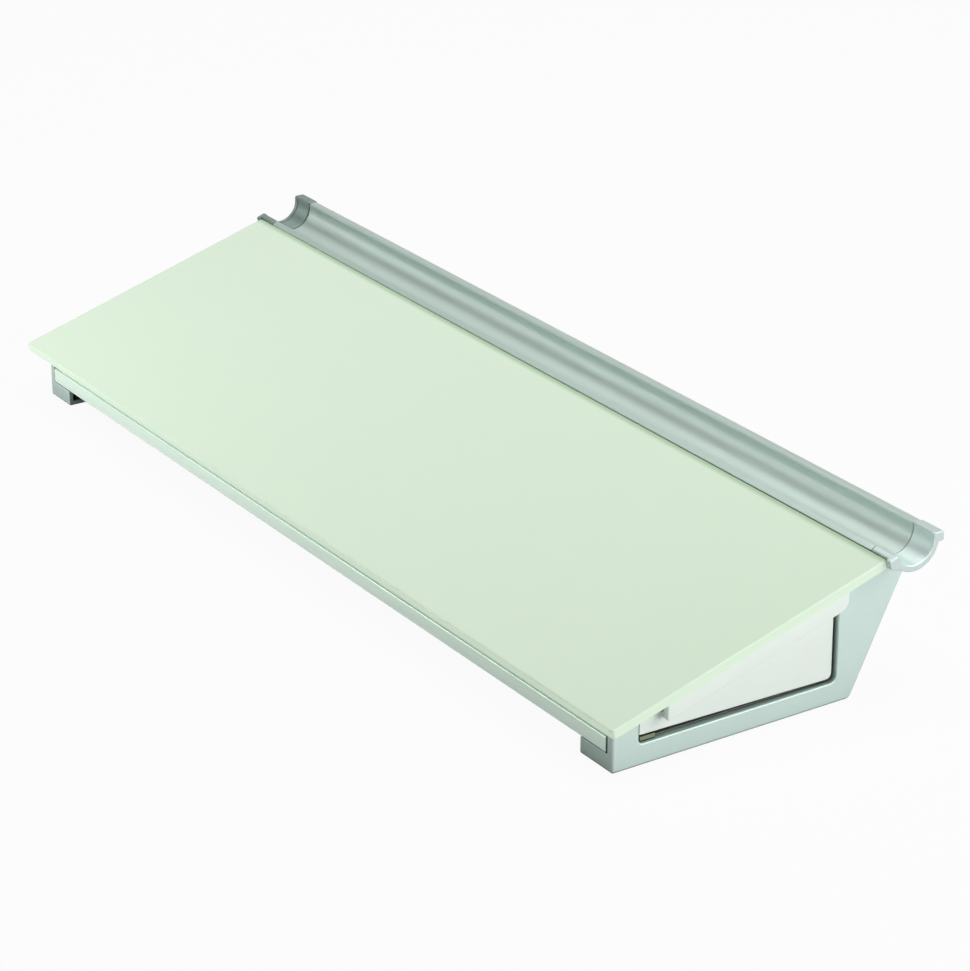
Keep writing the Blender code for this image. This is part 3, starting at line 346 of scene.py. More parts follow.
def dressed(name, mesh, finish, body, node):
    """Object in its finish, its normals following its large faces, so that a round leaves a flat plain."""
    mesh.validate()
    mesh.shade_smooth()
    mesh.set_sharp_from_angle(angle=SMOOTH_ANGLE)
    mesh.materials.clear()
    mesh.materials.append(once(finish))
    made = bpy.data.objects.new(name, mesh)
    bpy.context.scene.collection.objects.link(made)
    normals = made.modifiers.new("even_shading", "WEIGHTED_NORMAL")
    normals.mode = "FACE_AREA"
    normals.keep_sharp = True
    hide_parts(node)
    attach(made, body)
    return made


def softened(node, kind, finish, width, steps=3, outer=None):
    """A copy of a CAD node, its loose triangles merged into flat faces and its edges rounded. `outer` is the
    x of an outer face, whose outline below the top gets the full width, and the rest the moulded round."""
    source = frame["nodes"][node]
    shape = bmesh.new()
    shape.from_mesh(source.data)
    bmesh.ops.remove_doubles(shape, verts=shape.verts, dist=WELD)
    bmesh.ops.dissolve_limit(shape, angle_limit=FLAT_ANGLE, verts=shape.verts, edges=shape.edges)
    if outer is not None:
        weigh_edges(shape, sum(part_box(node), Vector()) / 2, outer, sizes().moulded_round / width)
    name = f"{node}_{kind}"
    mesh = bpy.data.meshes.new(name)
    shape.to_mesh(mesh)
    shape.free()
    made = dressed(name, mesh, finish, source["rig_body"], node)
    bevel = made.modifiers.new("rounded_edges", "BEVEL")
    bevel.width = width
    bevel.segments = steps
    bevel.limit_method = "ANGLE" if outer is None else "WEIGHT"
    bevel.angle_limit = SMOOTH_ANGLE
    bevel.use_clamp_overlap = False
    bevel.miter_outer = "MITER_ARC"
    made.modifiers.move(1, 0)
    return made


def weigh_edges(shape, centre, outer, lesser):
    """Bevel weights of the sharp edges: 1 on the outer face's outline, where it looks away from the centre
    and not upwards, and the lesser share elsewhere."""
    side_on, rising = 0.7, 0.5
    weight = shape.edges.layers.float.new("bevel_weight_edge")
    for edge in shape.edges:
        if len(edge.link_faces) != 2 or edge.calc_face_angle() <= SMOOTH_ANGLE:
            continue
        outward = (edge.verts[0].co + edge.verts[1].co) / 2 - centre
        outline = all(abs(corner.co.x - outer) < FIT for corner in edge.verts) and any(
            abs(face.normal.x) < side_on and face.normal.z < rising and face.normal.dot(outward) > 0
            for face in edge.link_faces)
        edge[weight] = 1.0 if outline else lesser


# Finishes: each function wires a material's shader and gives the material its name

def feed(tree, socket, value):
    """Gives a socket its value, or the socket that feeds it."""
    if isinstance(value, bpy.types.NodeSocket):
        tree.links.new(value, socket)
    else:
        socket.default_value = value


def add(tree, kind, inputs=None, out=None, **settings):
    """One node, with its settings by name and its inputs' values or feeding sockets. It gives the output of
    that name, or else the first that the settings leave in use."""
    made = tree.nodes.new("ShaderNode" + kind)
    for name, value in settings.items():
        setattr(made, name, value)
    for name, value in (inputs or {}).items():
        feed(tree, made.inputs[name], value)
    return made.outputs[out] if out else next(socket for socket in made.outputs if socket.enabled)


def wire(tree, **values):
    """Values or feeding sockets for the material's shader, named with underscores for spaces."""
    shader = tree.nodes["Principled BSDF"]
    for name, value in values.items():
        feed(tree, shader.inputs[name.replace("_", " ").title().replace("Ior", "IOR")], value)


def once(finish):
    """The finish's material, made at its first use."""
    made = bpy.data.materials.get(finish.__name__)
    if made is None:
        made = bpy.data.materials.new(finish.__name__)
        made.use_nodes = True
        finish(made.node_tree)
    return made


def per(millimetres):
    """Scale of a pattern whose cells are this wide."""
    return 1 / (millimetres * MM)


def rgba(tone, share=1):
    """A share of a colour, with its alpha."""
    return (*(share * part for part in tone), 1)


def painted_gap_shade(tree, tone, reach):
    """The tone with painted shade: darkened in narrow gaps whose walls lie within reach. The share
    of open sky goes from shut to clear, and the least share of the tone is left where it is shut."""
    shut, clear, least = 0.15, 0.68, 0.04
    sky = add(tree, "AmbientOcclusion", {"Distance": reach}, "AO", samples=8)
    share = add(tree, "MapRange", {"Value": sky, "From Min": shut, "From Max": clear, "To Min": least})
    return add(tree, "Mix", {"Factor": share, "A": rgba(colours().shade), "B": tone}, data_type="RGBA")


def patterned(tree, tone, depth, mottle, rough, grain=None, relief=None, reach=None, drawn=None, **values):
    """Shader with one or two noises, each (width in mm, detail). As the mottle rises, the tone falls to its
    depth share. The grain, or else the mottle, sways a pair of roughnesses and lifts a relief (strength,
    height in mm). `drawn` stretches both along X into lines, and gaps up to the reach get painted shade."""
    place = add(tree, "TexCoord", out="Object")
    if drawn:
        place = add(tree, "Mapping", {"Vector": place, "Scale": (drawn, 1, 1)})
    noises = [add(tree, "TexNoise", {"Vector": place, "Scale": per(width), "Detail": detail})
              for width, detail in filter(None, (mottle, grain))]
    grit = noises[-1]
    base = add(tree, "Mix", {"Factor": noises[0], "A": rgba(tone), "B": rgba(tone, depth)}, data_type="RGBA")
    if reach:
        base = painted_gap_shade(tree, base, reach)
    if isinstance(rough, tuple):
        rough = add(tree, "MapRange", {"Value": grit, "From Min": 0.3, "From Max": 0.7, "To Min": rough[0],
                                       "To Max": rough[1]})
    if relief:
        strength, height = relief
        values["normal"] = add(tree, "Bump", {"Height": grit, "Strength": strength, "Distance": height * MM})
    wire(tree, base_color=base, roughness=rough, **values)


def back_painted_tempered_glass(tree):
    """Float glass, painted pale green behind: the paint gives the colour, the polished front a clear gloss
    and the toughening a slow ripple in what it mirrors. The ground edges carry a painted glow, an emission
    that stands in for the light that the glass leads to them. The rear edge takes a darker tone, partly
    painted shade, with a band of painted shade inside it for its depth and a bright line of plain paint
    behind."""
    tint, size = colours(), sizes()
    place = add(tree, "TexCoord", out="Object")
    ripple = add(tree, "TexNoise", {"Vector": place, "Scale": per(60), "Detail": 1.0})
    smears = add(tree, "TexNoise", {"Vector": place, "Scale": per(22), "Detail": 4.0})
    paint = add(tree, "Mix", {"Factor": smears, "A": rgba(tint.glass), "B": rgba(tint.glass, 0.985)},
                data_type="RGBA")

    # Painted shade: a darker band inside the rear edge, fading back to the plain paint in a thin bright line
    # at the edge
    rear_y = FEET_FRONT - size.glass_front + size.glass_depth * math.cos(size.glass_tilt)
    starts, full, ends = (rear_y - share * size.rear_shade_band for share in (1.0, 0.3, 0.2))
    apart = add(tree, "SeparateXYZ", {"Vector": place}).node.outputs
    shade_band = add(tree, "MapRange", {"Value": apart["Y"], "From Min": starts, "From Max": full},
                 interpolation_type="SMOOTHSTEP")
    shade_band_fade = add(tree, "MapRange", {"Value": apart["Y"], "From Min": full, "From Max": ends, **FALLING})
    shade_band = add(tree, "Math", {0: shade_band, 1: shade_band_fade}, operation="MULTIPLY")
    paint = add(tree, "Mix", {"Factor": shade_band, "A": paint, "B": rgba(tint.rear_shade_band)}, data_type="RGBA")

    normal = add(tree, "NewGeometry", out="Normal")
    facing = add(tree, "VectorMath", {0: normal, 1: slope_axes()[1]}, operation="DOT_PRODUCT")
    edge = add(tree, "MapRange", {"Value": facing, "From Min": 0.2, "From Max": 0.97, **FALLING})
    # The rear-facing edge takes a darker tone: partly the glass's green, partly painted shade for the edge
    # that faces the narrow gap to the trough
    rearward = add(tree, "VectorMath", {0: normal, 1: (0, 1, 0)}, operation="DOT_PRODUCT")
    rear = add(tree, "MapRange", {"Value": rearward, "From Min": 0.3, "From Max": 0.7})
    ground = add(tree, "Mix", {"Factor": rear, "A": rgba(tint.glass_edge), "B": rgba(tint.glass_rear_edge_shade)},
                 data_type="RGBA")
    base = add(tree, "Mix", {"Factor": edge, "A": paint, "B": ground}, data_type="RGBA")

    gloss = add(tree, "MapRange", {"Value": smears, "From Min": 0.3, "From Max": 0.7, "To Min": 0.10,
                                   "To Max": 0.14})
    dull = add(tree, "MapRange", {"Value": facing, "From Min": 0.90, "From Max": 0.99, "To Min": 0.36,
                                  "To Max": 0.0})
    rough = add(tree, "Math", {0: gloss, 1: dull}, operation="ADD")
    bump = add(tree, "Bump", {"Height": ripple, "Strength": 0.03, "Distance": 0.4 * MM})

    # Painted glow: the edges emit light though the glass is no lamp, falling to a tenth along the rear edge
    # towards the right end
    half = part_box("glass_panel")[1].x
    behind = add(tree, "MapRange", {"Value": apart["X"], "From Min": -half, "From Max": half,
                                    "To Min": PAINTED_EDGE_GLOW, "To Max": 0.1 * PAINTED_EDGE_GLOW})
    painted_glow = add(tree, "MapRange", {"Value": rear, "To Min": PAINTED_EDGE_GLOW, "To Max": behind})
    sides = add(tree, "MapRange", {"Value": facing, "From Min": 0.1, "From Max": 0.9, **FALLING})
    painted_glow = add(tree, "Math", {0: sides, 1: painted_glow}, operation="MULTIPLY")
    wire(tree, base_color=base, roughness=rough, ior=1.52, normal=bump, emission_color=rgba(tint.glass_edge_glow),
         emission_strength=painted_glow)


def satin_anodised_aluminium(tree):
    """Pen trough, extruded, fine-etched and anodised: a soft metal sheen with die lines along the length,
    about 0.4 mm apart, drawn a little coarser than the real ones so that they show."""
    patterned(tree, colours().aluminium, 0.93, mottle=(6, 2.0), grain=(0.45, 3.0), drawn=0.01,
              rough=(0.39, 0.51), relief=(0.12, 0.03), reach=GAP_REACH / 20, metallic=0.6)


def pale_anodised_aluminium(tree):
    """Front rail, extruded and anodised: the same die lines, in a paler tone and less like a mirror than the
    trough."""
    patterned(tree, colours().rail, 0.93, mottle=(6, 2.0), grain=(0.45, 3.0), drawn=0.01,
              rough=(0.36, 0.48), relief=(0.12, 0.03), reach=0.8 * GAP_REACH, metallic=0.25)


def silver_painted_abs(tree):
    """Moulded ABS sprayed with silver paint: fine flakes, whose lighter tone is a painted glint where they
    catch the light, a satin sheen, a faint orange peel, and painted shade in narrow gaps. The flakes are
    drawn at 0.25 mm, coarser than the real ones, so that they show."""
    tint = colours()
    place = add(tree, "TexCoord", out="Object")
    flakes = add(tree, "TexVoronoi", {"Vector": place, "Scale": per(0.25)})
    mist = add(tree, "TexNoise", {"Vector": place, "Scale": per(9), "Detail": 3.0})
    peel = add(tree, "TexNoise", {"Vector": place, "Scale": per(0.9), "Detail": 2.0})
    # Painted glint: the flakes' centres take the lighter flake colour
    painted_glint = add(tree, "MapRange", {"Value": flakes, "From Max": 0.5, "To Min": 0.45, "To Max": 0.0})
    body = add(tree, "Mix", {"Factor": mist, "A": rgba(tint.silver), "B": rgba(tint.silver, 0.95)},
               data_type="RGBA")
    base = add(tree, "Mix", {"Factor": painted_glint, "A": body, "B": rgba(tint.silver_flake_glint)}, data_type="RGBA")
    rough = add(tree, "MapRange", {"Value": flakes, "From Max": 0.6, "To Min": 0.48, "To Max": 0.60})
    bump = add(tree, "Bump", {"Height": peel, "Strength": 0.12, "Distance": 0.03 * MM})
    wire(tree, base_color=painted_gap_shade(tree, base, GAP_REACH), metallic=0.7, roughness=rough, normal=bump)


def satin_silver_collar(tree):
    """Moulded end caps in a silver lacquer: finer than the frames' paint, and more metallic inside, where
    they show light and dark bands as the trough does. The inside's lighter tone is partly painted light, and
    painted shade darkens the whole left cap."""
    tint = colours()
    place = add(tree, "TexCoord", out="Object")
    mist = add(tree, "TexNoise", {"Vector": place, "Scale": per(5), "Detail": 3.0})
    flakes = add(tree, "TexVoronoi", {"Vector": place, "Scale": per(0.2)})
    tone = add(tree, "Mix", {"Factor": mist, "A": rgba(tint.collar), "B": rgba(tint.collar, 0.94)},
               data_type="RGBA")
    rough = add(tree, "MapRange", {"Value": flakes, "From Max": 0.6, "To Min": 0.44, "To Max": 0.52})
    # Inside the trough's radius the cap takes a lighter tone, partly painted light, and more metal
    y, z = trough_centre()
    off = add(tree, "VectorMath", {0: place, 1: (0, FEET_FRONT + y, FEET_UNDER + z)}, operation="SUBTRACT")
    off = add(tree, "VectorMath", {0: off, 1: (0, 1, 1)}, operation="MULTIPLY")
    radius = add(tree, "VectorMath", {0: off}, operation="LENGTH")
    starts, ends = (sizes().trough_radius - drop * MM for drop in (0.2, 0.1))
    inside = add(tree, "MapRange", {"Value": radius, "From Min": starts, "From Max": ends, **FALLING})
    tone = add(tree, "Mix", {"Factor": inside, "A": tone, "B": rgba(tint.collar_inside_lit)}, data_type="RGBA")
    # Painted shade: the left end cap, on the far side of x = 0, is darkened all over
    across = add(tree, "SeparateXYZ", {"Vector": place}, "X")
    far = add(tree, "MapRange", {"Value": across, "From Min": -MM, "From Max": MM, **FALLING})
    tone = add(tree, "Mix", {"Factor": far, "A": tone, "B": rgba(tint.left_cap_shade)}, data_type="RGBA",
               blend_type="MULTIPLY")
    shine = add(tree, "MapRange", {"Value": inside, "To Min": 0.5, "To Max": 0.7})
    wire(tree, base_color=painted_gap_shade(tree, tone, GAP_REACH / 10), metallic=shine, roughness=rough)


def white_moulded_abs(tree):
    """ABS from a lightly spark-eroded mould: an even white, a soft satin sheen and a grain of 0.4 mm."""
    patterned(tree, colours().drawer, 0.97, mottle=(18, 2.0), grain=(0.4, 2.0), rough=(0.32, 0.44),
              relief=(0.10, 0.02), reach=GAP_REACH / 5, ior=1.53)


def natural_acetal(tree):
    """Low-friction acetal: a slightly waxy olive grey with polished rubbing tracks along X. Its darker tone
    is partly painted shade, for runners that sit deep in the drawer's gap.
    """
    patterned(tree, colours().acetal_in_shade, 0.92, mottle=(0.6, 2.0), drawn=0.02, rough=(0.30, 0.50),
              reach=GAP_REACH, ior=1.48)


def powder_coated_sheet(tree):
    """Sheet steel under baked powder: a matt pale grey with an orange peel of about 1.2 mm, and painted
    shade where the drawer nearly covers it."""
    patterned(tree, colours().sheet, 0.94, mottle=(1.2, 3.0), rough=0.52, relief=(0.25, 0.05),
              reach=3 * GAP_REACH)


def foam_bonding_tape(tree):
    """Acrylic foam tape: dark grey and matt, its cut side finely pored."""
    grey = colours().tape
    place = add(tree, "TexCoord", out="Object")
    pores = add(tree, "TexVoronoi", {"Vector": place, "Scale": per(0.3)})
    base = add(tree, "Mix", {"Factor": pores, "A": rgba(grey, 0.6), "B": rgba(grey)}, data_type="RGBA")
    bump = add(tree, "Bump", {"Height": pores, "Strength": 0.4, "Distance": 0.08 * MM})
    wire(tree, base_color=base, roughness=0.85, normal=bump)


def moulded_rubber(tree):
    """Black rubber: nearly matt, with a dusty bloom and a fine grain that grips the desk."""
    patterned(tree, colours().rubber, 1.6, mottle=(3, 5.0), grain=(0.35, 2.0), rough=0.8, relief=(0.3, 0.05))


def zinc_plated_steel(tree):
    """Cold-headed steel, bright zinc plated: a cool grey metal, its sheen cloudy as the plating varies."""
    patterned(tree, colours().zinc, 0.8, mottle=(0.8, 4.0), rough=(0.22, 0.40), metallic=1.0)


# Outlines, from the sizes

def trough_front():
    """Along the slope from the glass's front edge to the trough's front wall."""
    return sizes().glass_depth + sizes().trough_gap


def trough_centre():
    return on_slope(trough_front() + sizes().trough_back, sizes().trough_rise)[:2]


def inside_arc(radius, dropped, first_round):
    """The pen channel's inside. Its first corner has a round, so a few points after it are dropped."""
    size = sizes()
    points = arc(trough_centre(), radius, size.trough_front_turn - math.pi / 2, math.pi / 2, size.ring_steps)
    points = np.delete(points, np.arange(1, dropped + 1), axis=0)
    points[0, 2] = first_round
    return points


def bead_corners(proud, lip=0.0):
    """Corners of the rear bead, from the inside's top to where its underside meets the trough's round, and
    the angle of that place from straight down."""
    size = sizes()
    y, z = trough_centre()
    inner = y + size.trough_radius - proud - lip
    top = z + size.bead_rise + proud
    rear = y + size.trough_radius + size.bead_depth + proud
    bottom = z + size.bead_rise - size.bead_height - proud
    outer = size.trough_radius + size.trough_wall + proud
    meets = math.acos((z - bottom) / outer)
    corners = [(inner, top, size.bead_round), (rear, top, size.bead_round), (rear, bottom, size.bead_round),
               (y + outer * math.sin(meets), bottom, size.root_round)]
    return corners, meets


def trough_outline():
    """U section with a rear bead and a flange that runs forward under the deck."""
    size = sizes()
    outer = size.trough_radius + size.trough_wall
    bead, meets = bead_corners(0)
    under = size.shelf_drop + size.trough_wall
    leaves = size.glass_tilt - math.acos((size.trough_rise + under) / outer)
    outside = arc(trough_centre(), outer, meets, leaves, size.ring_steps)[1:]
    front = trough_front()
    flange = [on_slope(front - size.flange, -under, size.free_round),
              on_slope(front - size.flange, -size.shelf_drop, size.free_round),
              on_slope(front, -size.shelf_drop, size.root_round),
              on_slope(front, size.glass_thick, size.root_round)]
    inside = inside_arc(size.trough_radius, 2, size.rail_round)
    return outline_through(np.vstack([inside, bead, outside, flange]))


def cap_outline(lip=0.0, ahead=0.0):
    """The trough's section, a little proud of it, without the flange; its inside stands in by `lip` more,
    and its front `ahead` more."""
    size = sizes()
    outer = size.trough_radius + size.trough_wall + size.cap_proud
    bead, meets = bead_corners(size.cap_proud, lip)
    inside = inside_arc(size.trough_radius - size.cap_proud - lip, 3, size.cap_corner)
    outside = arc(trough_centre(), outer, meets, -size.cap_front_turn, size.ring_steps)[1:]
    face, top = trough_front() - ahead, size.glass_thick + size.cap_proud
    front = [on_slope(face, top - size.cap_lip, size.cap_corner), on_slope(face, top, size.cap_corner)]
    return outline_through(np.vstack([inside, bead, outside, front]))


def rail_outline():
    """C section: the face, which steps back above into a shadow groove, a level foot flange and a top flange
    parallel to the glass."""
    size = sizes()
    wall, deep, low, drop = size.rail_wall, size.rail_depth, size.rail_bottom, size.shelf_drop
    fillet, end, face, groove = size.rail_round, size.free_round, size.rail_face, size.rail_groove
    jog = groove + size.rail_jog
    return outline_through([
        (0, low, fillet), (deep, low, end), (deep, low + wall, end), (wall, low + wall, fillet),
        (wall, face - wall, fillet), (jog, face, fillet), (jog, slope_height(jog, drop + wall), fillet),
        (deep, slope_height(deep, drop + wall), end), (deep, slope_height(deep, drop), end),
        (groove, slope_height(groove, drop), end), (groove, face, fillet), (0, face, fillet)])


def pan_outline():
    """Bent sheet between the CAD pan's own limits: front lip, floor and leaning back wall. Inside bends have
    the bend's radius, outside ones that and the sheet's thickness."""
    size = sizes()
    low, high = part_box("base_pan")
    thick, inner, edge = size.sheet_thick, size.sheet_bend, size.free_round
    outer = inner + thick
    front, bottom = low.y - FEET_FRONT, low.z - FEET_UNDER
    cos, sin, tan = (way(size.leg_lean) for way in (math.cos, math.sin, math.tan))
    top = (high.y - FEET_FRONT, high.z - FEET_UNDER - thick * sin)
    top_inner = (top[0] - thick * cos, top[1] + thick * sin)
    floor = bottom + thick
    heel = (top[0] - (top[1] - bottom) * tan, bottom, outer)
    return outline_through([
        (front, bottom, outer), heel, (*top, edge), (*top_inner, edge),
        (top_inner[0] - (top_inner[1] - floor) * tan, floor, inner),
        (front + thick, floor, inner), (front + thick, size.pan_lip, edge), (front, size.pan_lip, edge)])


def screw_profile(head, thick, shank, long):
    """(radius, height) of a pan-head screw from its crown to its tip: a crown that falls with the square of
    the radius, a rounded rim, a flat underside, and a shank with a chamfered end."""
    edge, crown_fall, rim_fall, foot = 0.86 * head, 0.38 * thick, 0.30 * thick, 0.02 * thick
    chamfer = 0.3 * MM
    radius = np.linspace(0, edge, 15)
    crown = np.stack([radius, crown_fall * (radius / edge) ** 2 - thick], 1)
    t = np.linspace(0, np.pi / 2, 5)[1:]
    turned = np.stack([edge + (head - edge) * np.sin(t), crown_fall - thick + rim_fall * (1 - np.cos(t))], 1)
    body = [(head, -foot), (shank, 0), (shank, long - chamfer), (shank - chamfer, long), (0, long)]
    return np.vstack([crown, turned, body])


def cross_recess(head, thick):
    """How far the crown sinks at (x, y): a set depth inside two crossing arms, eased over a tenth of the
    head's radius at their sides and ends."""
    ease, arm, reach, deep = 0.10 * head, 0.13 * head, 0.60 * head, 0.62 * thick

    def sink(local):
        x, y = np.abs(local[:, :2]).T
        across = np.clip((arm + ease - np.minimum(x, y)) / ease, 0, 1)
        along = np.clip((reach + ease - np.maximum(x, y)) / ease, 0, 1)
        return np.where(local[:, 2] < -thick / 2, deep * across * along, 0)

    return sink


# Operators, one for each piece or group of like pieces

class DRYPAD_OT_glass(bpy.types.Operator):
    """Glass panel: a slab whose outline is carried up the slope's normal between two polished arrises"""

    bl_idname = "dry_pad.glass"
    bl_label = "Glass panel"

    def execute(self, context):
        size = sizes()
        low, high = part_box("glass_panel")
        deep, corner = size.glass_depth, size.glass_corner
        outline = outline_through([(low.x, 0, corner), (high.x, 0, corner), (high.x, deep, corner),
                                   (low.x, deep, corner)], 2 * size.arc_steps)
        origin = (0, FEET_FRONT - size.glass_front, FEET_UNDER + size.glass_rise)
        places, pulls = rim(0, size.glass_thick, size.glass_arris)
        shape = carried(outline, places, pulls, origin, ((1, 0, 0), *slope_axes()))
        piece("glass_writing_panel", shape, back_painted_tempered_glass, PAD, "glass_panel")
        return {"FINISHED"}


class DRYPAD_OT_trough(bpy.types.Operator):
    """Pen trough: the extrusion's section carried along X"""

    bl_idname = "dry_pad.trough"
    bl_label = "Pen trough"

    def execute(self, context):
        extruded("pen_trough_extrusion", trough_outline(), satin_anodised_aluminium,
                 "pen_trough")
        return {"FINISHED"}


class DRYPAD_OT_caps(bpy.types.Operator):
    """End caps: a moulded collar with a rounded rim on each end of the trough"""

    bl_idname = "dry_pad.caps"
    bl_label = "Trough end caps"

    def execute(self, context):
        trough_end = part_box("pen_trough")[1].x
        for side, name in ((1, "right"), (-1, "left")):
            low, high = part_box(f"trough_end_cap_{name}")
            inner = side * (trough_end + sizes().cap_joint)
            shape = self.collar(inner, high.x if side > 0 else low.x, side)
            piece(f"trough_collar_{name}", shape, satin_silver_collar, PAD,
                  f"trough_end_cap_{name}")
        return {"FINISHED"}

    @staticmethod
    def collar(inner, outer, side):
        """A sleeve from the joint to the end ring, which stands in a little and has the rounded rim."""
        size = sizes()
        step = outer - side * size.ring_width
        near, near_pulls = (part[:len(part) // 2] for part in rim(0, 1, size.free_round, 3))
        far, far_pulls = (part[len(part) // 2:] for part in rim(0, 1, size.cap_round))
        places = np.concatenate([inner + side * near, [step, step], outer - side * (1 - far)])
        pulls = np.concatenate([near_pulls, [0, 0], far_pulls])
        sleeve, ring = cap_outline(), cap_outline(size.ring_lip, size.ring_ahead)
        return carried(np.stack([sleeve] * (len(near) + 1) + [ring] * (len(far) + 1)), places, pulls)


class DRYPAD_OT_rail(bpy.types.Operator):
    """Front rail: a C section carried along X between the end frames"""

    bl_idname = "dry_pad.rail"
    bl_label = "Front rail"

    def execute(self, context):
        extruded("front_rail_extrusion", rail_outline(), pale_anodised_aluminium,
                 "front_rail", sizes().rail_end_gap)
        return {"FINISHED"}


class DRYPAD_OT_frames(bpy.types.Operator):
    """End frames: the CAD solids with their moulded edges rounded"""

    bl_idname = "dry_pad.frames"
    bl_label = "End frames"

    def execute(self, context):
        for node, far in (("end_frame_right", 1), ("end_frame_left", 0)):
            softened(node, "moulding", silver_painted_abs, sizes().frame_corner, 4,
                     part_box(node)[far].x)
        return {"FINISHED"}


class DRYPAD_OT_drawer(bpy.types.Operator):
    """Drawer: the tray, and the front with its finger lip, their moulded edges rounded"""

    bl_idname = "dry_pad.drawer"
    bl_label = "Drawer"

    def execute(self, context):
        for node in ("drawer_tray", "drawer_front"):
            softened(node, "moulding", white_moulded_abs, sizes().drawer_round)
        return {"FINISHED"}


class DRYPAD_OT_fittings(bpy.types.Operator):
    """Runners, stop block and foot pads, their edges rounded"""

    bl_idname = "dry_pad.fittings"
    bl_label = "Runners, stop and pads"

    def execute(self, context):
        for node in ("runner_front", "runner_rear", "stop_block"):
            softened(node, "moulding", natural_acetal, sizes().fitting_round, 2)
        for place in ("front_right", "front_left", "rear_right", "rear_left"):
            softened(f"foot_pad_{place}", "rubber", moulded_rubber, sizes().pad_round, 2)
        return {"FINISHED"}


class DRYPAD_OT_sheets(bpy.types.Operator):
    """Pan: a bent sheet's section carried along X. Deck and tapes: the CAD solids in their own finishes"""

    bl_idname = "dry_pad.sheets"
    bl_label = "Pan, deck and tapes"

    def execute(self, context):
        extruded("base_pan_sheet", pan_outline(), powder_coated_sheet, "base_pan")
        plain = {f"bond_tape_{side}": foam_bonding_tape for side in ("front", "rear", "left", "right")}
        plain["support_deck"] = powder_coated_sheet
        for name, finish in plain.items():
            skins = frame["nodes"][name].data.materials
            skins.clear()
            skins.append(once(finish))
        return {"FINISHED"}


class DRYPAD_OT_screws(bpy.types.Operator):
    """Screws: a pan head with a cross recess and a plain shank, turned about each CAD screw's axis"""

    bl_idname = "dry_pad.screws"
    bl_label = "Screws"

    def execute(self, context):
        square = slope_axes()[1]
        ways = {"deck_screw": square, "trough_screw": square, "drawer_front_screw": (1, 0, 0)}
        for name, node in frame["nodes"].items():
            if "screw" not in name:
                continue
            way = next((way for start, way in ways.items() if name.startswith(start)), (0, 0, 1))
            piece(name + "_turned", self.turned(node, np.array(way, float)), zinc_plated_steel,
                  node["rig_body"], name)
        return {"FINISHED"}

    @staticmethod
    def turned(node, way):
        """A screw with the CAD screw's own head, shank and length, measured along and off its axis. The head
        is what reaches nearly as far out as its rim, and the shank what lies at the tip."""
        nearly, tip, sides = 0.9, 0.2 * MM, 64
        points = np.empty(len(node.data.vertices) * 3)
        node.data.vertices.foreach_get("co", points)
        points = points.reshape(-1, 3)
        middle = (points.min(0) + points.max(0)) / 2
        up = (points - middle) @ way
        off = np.linalg.norm(points - middle - up[:, None] * way, axis=1)
        head, shank = off.max(), off[up > up.max() - tip].max()
        thick = up[off > nearly * head].max() - up.min()
        profile = screw_profile(head, thick, shank, up.max() - up.min() - thick)
        seat = middle + way * (up.min() + thick)
        return revolved(profile, sides, seat, way, cross_recess(head, thick))


# The stage

CAMERA_AT = (1.1341, -0.73055, 0.6068)
CAMERA_TO = (0.0654, -0.02025, 0.0470)
CAMERA_LENS = 131.27  # mm, as is the sensor's width
SENSOR_WIDTH = 36
# Strength of the painted glow on the glass's edges
PAINTED_EDGE_GLOW = 0.47  # of the light that the glass leads to its edges
FLOOR_REACH = 6.0
FLOOR_SEEN = 0.95  # share of plain white that the camera sees in the floor
FLOOR_MIRRORED = 0.12  # share of it that a gloss or glass mirrors
ROOM = 0.06  # strength of the world's light
WHITE = (1, 1, 1, 1)
# Glows that only a gloss mirrors: way, cosine of the angle where it starts, strength
GLOWS = (((-0.76, -0.65, 0.08), 0.87, 1.70), ((-0.74, 0.20, 0.64), 0.86, 0.52))
MIDDLE = (0, 0, 0.03)
# Cards at the front left: place, aim, width, height
CARD = ((-0.38, -0.46, 0.05), (-0.14, -0.06, 0.01), 0.25, 0.08)
RAIL_CARD = ((-0.40, -0.60, 0.07), (-0.12, -0.06, 0.01), 0.25, 0.08)
# Name, place, aim, width, height, watts, share that a gloss mirrors, and the piece that it alone lights
LAMPS = (
    ("overhead_softbox", (0.0, 0.1, 1.6), MIDDLE, 1.2, 1.4, 22.5, 0.25),
    ("rear_right_softbox", (1.2, 1.1, 0.9), MIDDLE, 1.0, 0.8, 12.0, 1.0),
    ("left_softbox", (-1.35, 0.5, 0.95), MIDDLE, 1.0, 0.8, 0.5, 1.0),
    ("front_left_card", *CARD, 1.9, 0.15, "glass_writing_panel"),
    ("rail_card", *RAIL_CARD, 3.2, 0.15, "front_rail_extrusion"),
    ("left_foot_card", *CARD, 0.7, 0.15, "end_frame_left_moulding"),
    ("right_card", (1.3, 0.3, 0.25), MIDDLE, 0.9, 0.4, 7.0, 1.0),
)


def looking(made, place, target):
    """Puts a lamp or camera at a place, turned to its target, and in the scene."""
    made.location = place
    made.rotation_euler = (Vector(target) - Vector(place)).to_track_quat("-Z", "Y").to_euler()
    bpy.context.scene.collection.objects.link(made)


def area_light(name, place, target, width, height, power, mirrored, lit=None):
    """Soft lamp. Flags keep its light off all but the piece that it lights, where one is named."""
    data = bpy.data.lights.new(name, "AREA")
    data.shape = "RECTANGLE"
    data.size, data.size_y, data.energy = width, height, power
    data.specular_factor = mirrored
    made = bpy.data.objects.new(name, data)
    looking(made, place, target)
    if lit:
        lights = bpy.data.collections.new(name + "_lights")
        lights.objects.link(bpy.data.objects[lit])
        made.light_linking.receiver_collection = lights


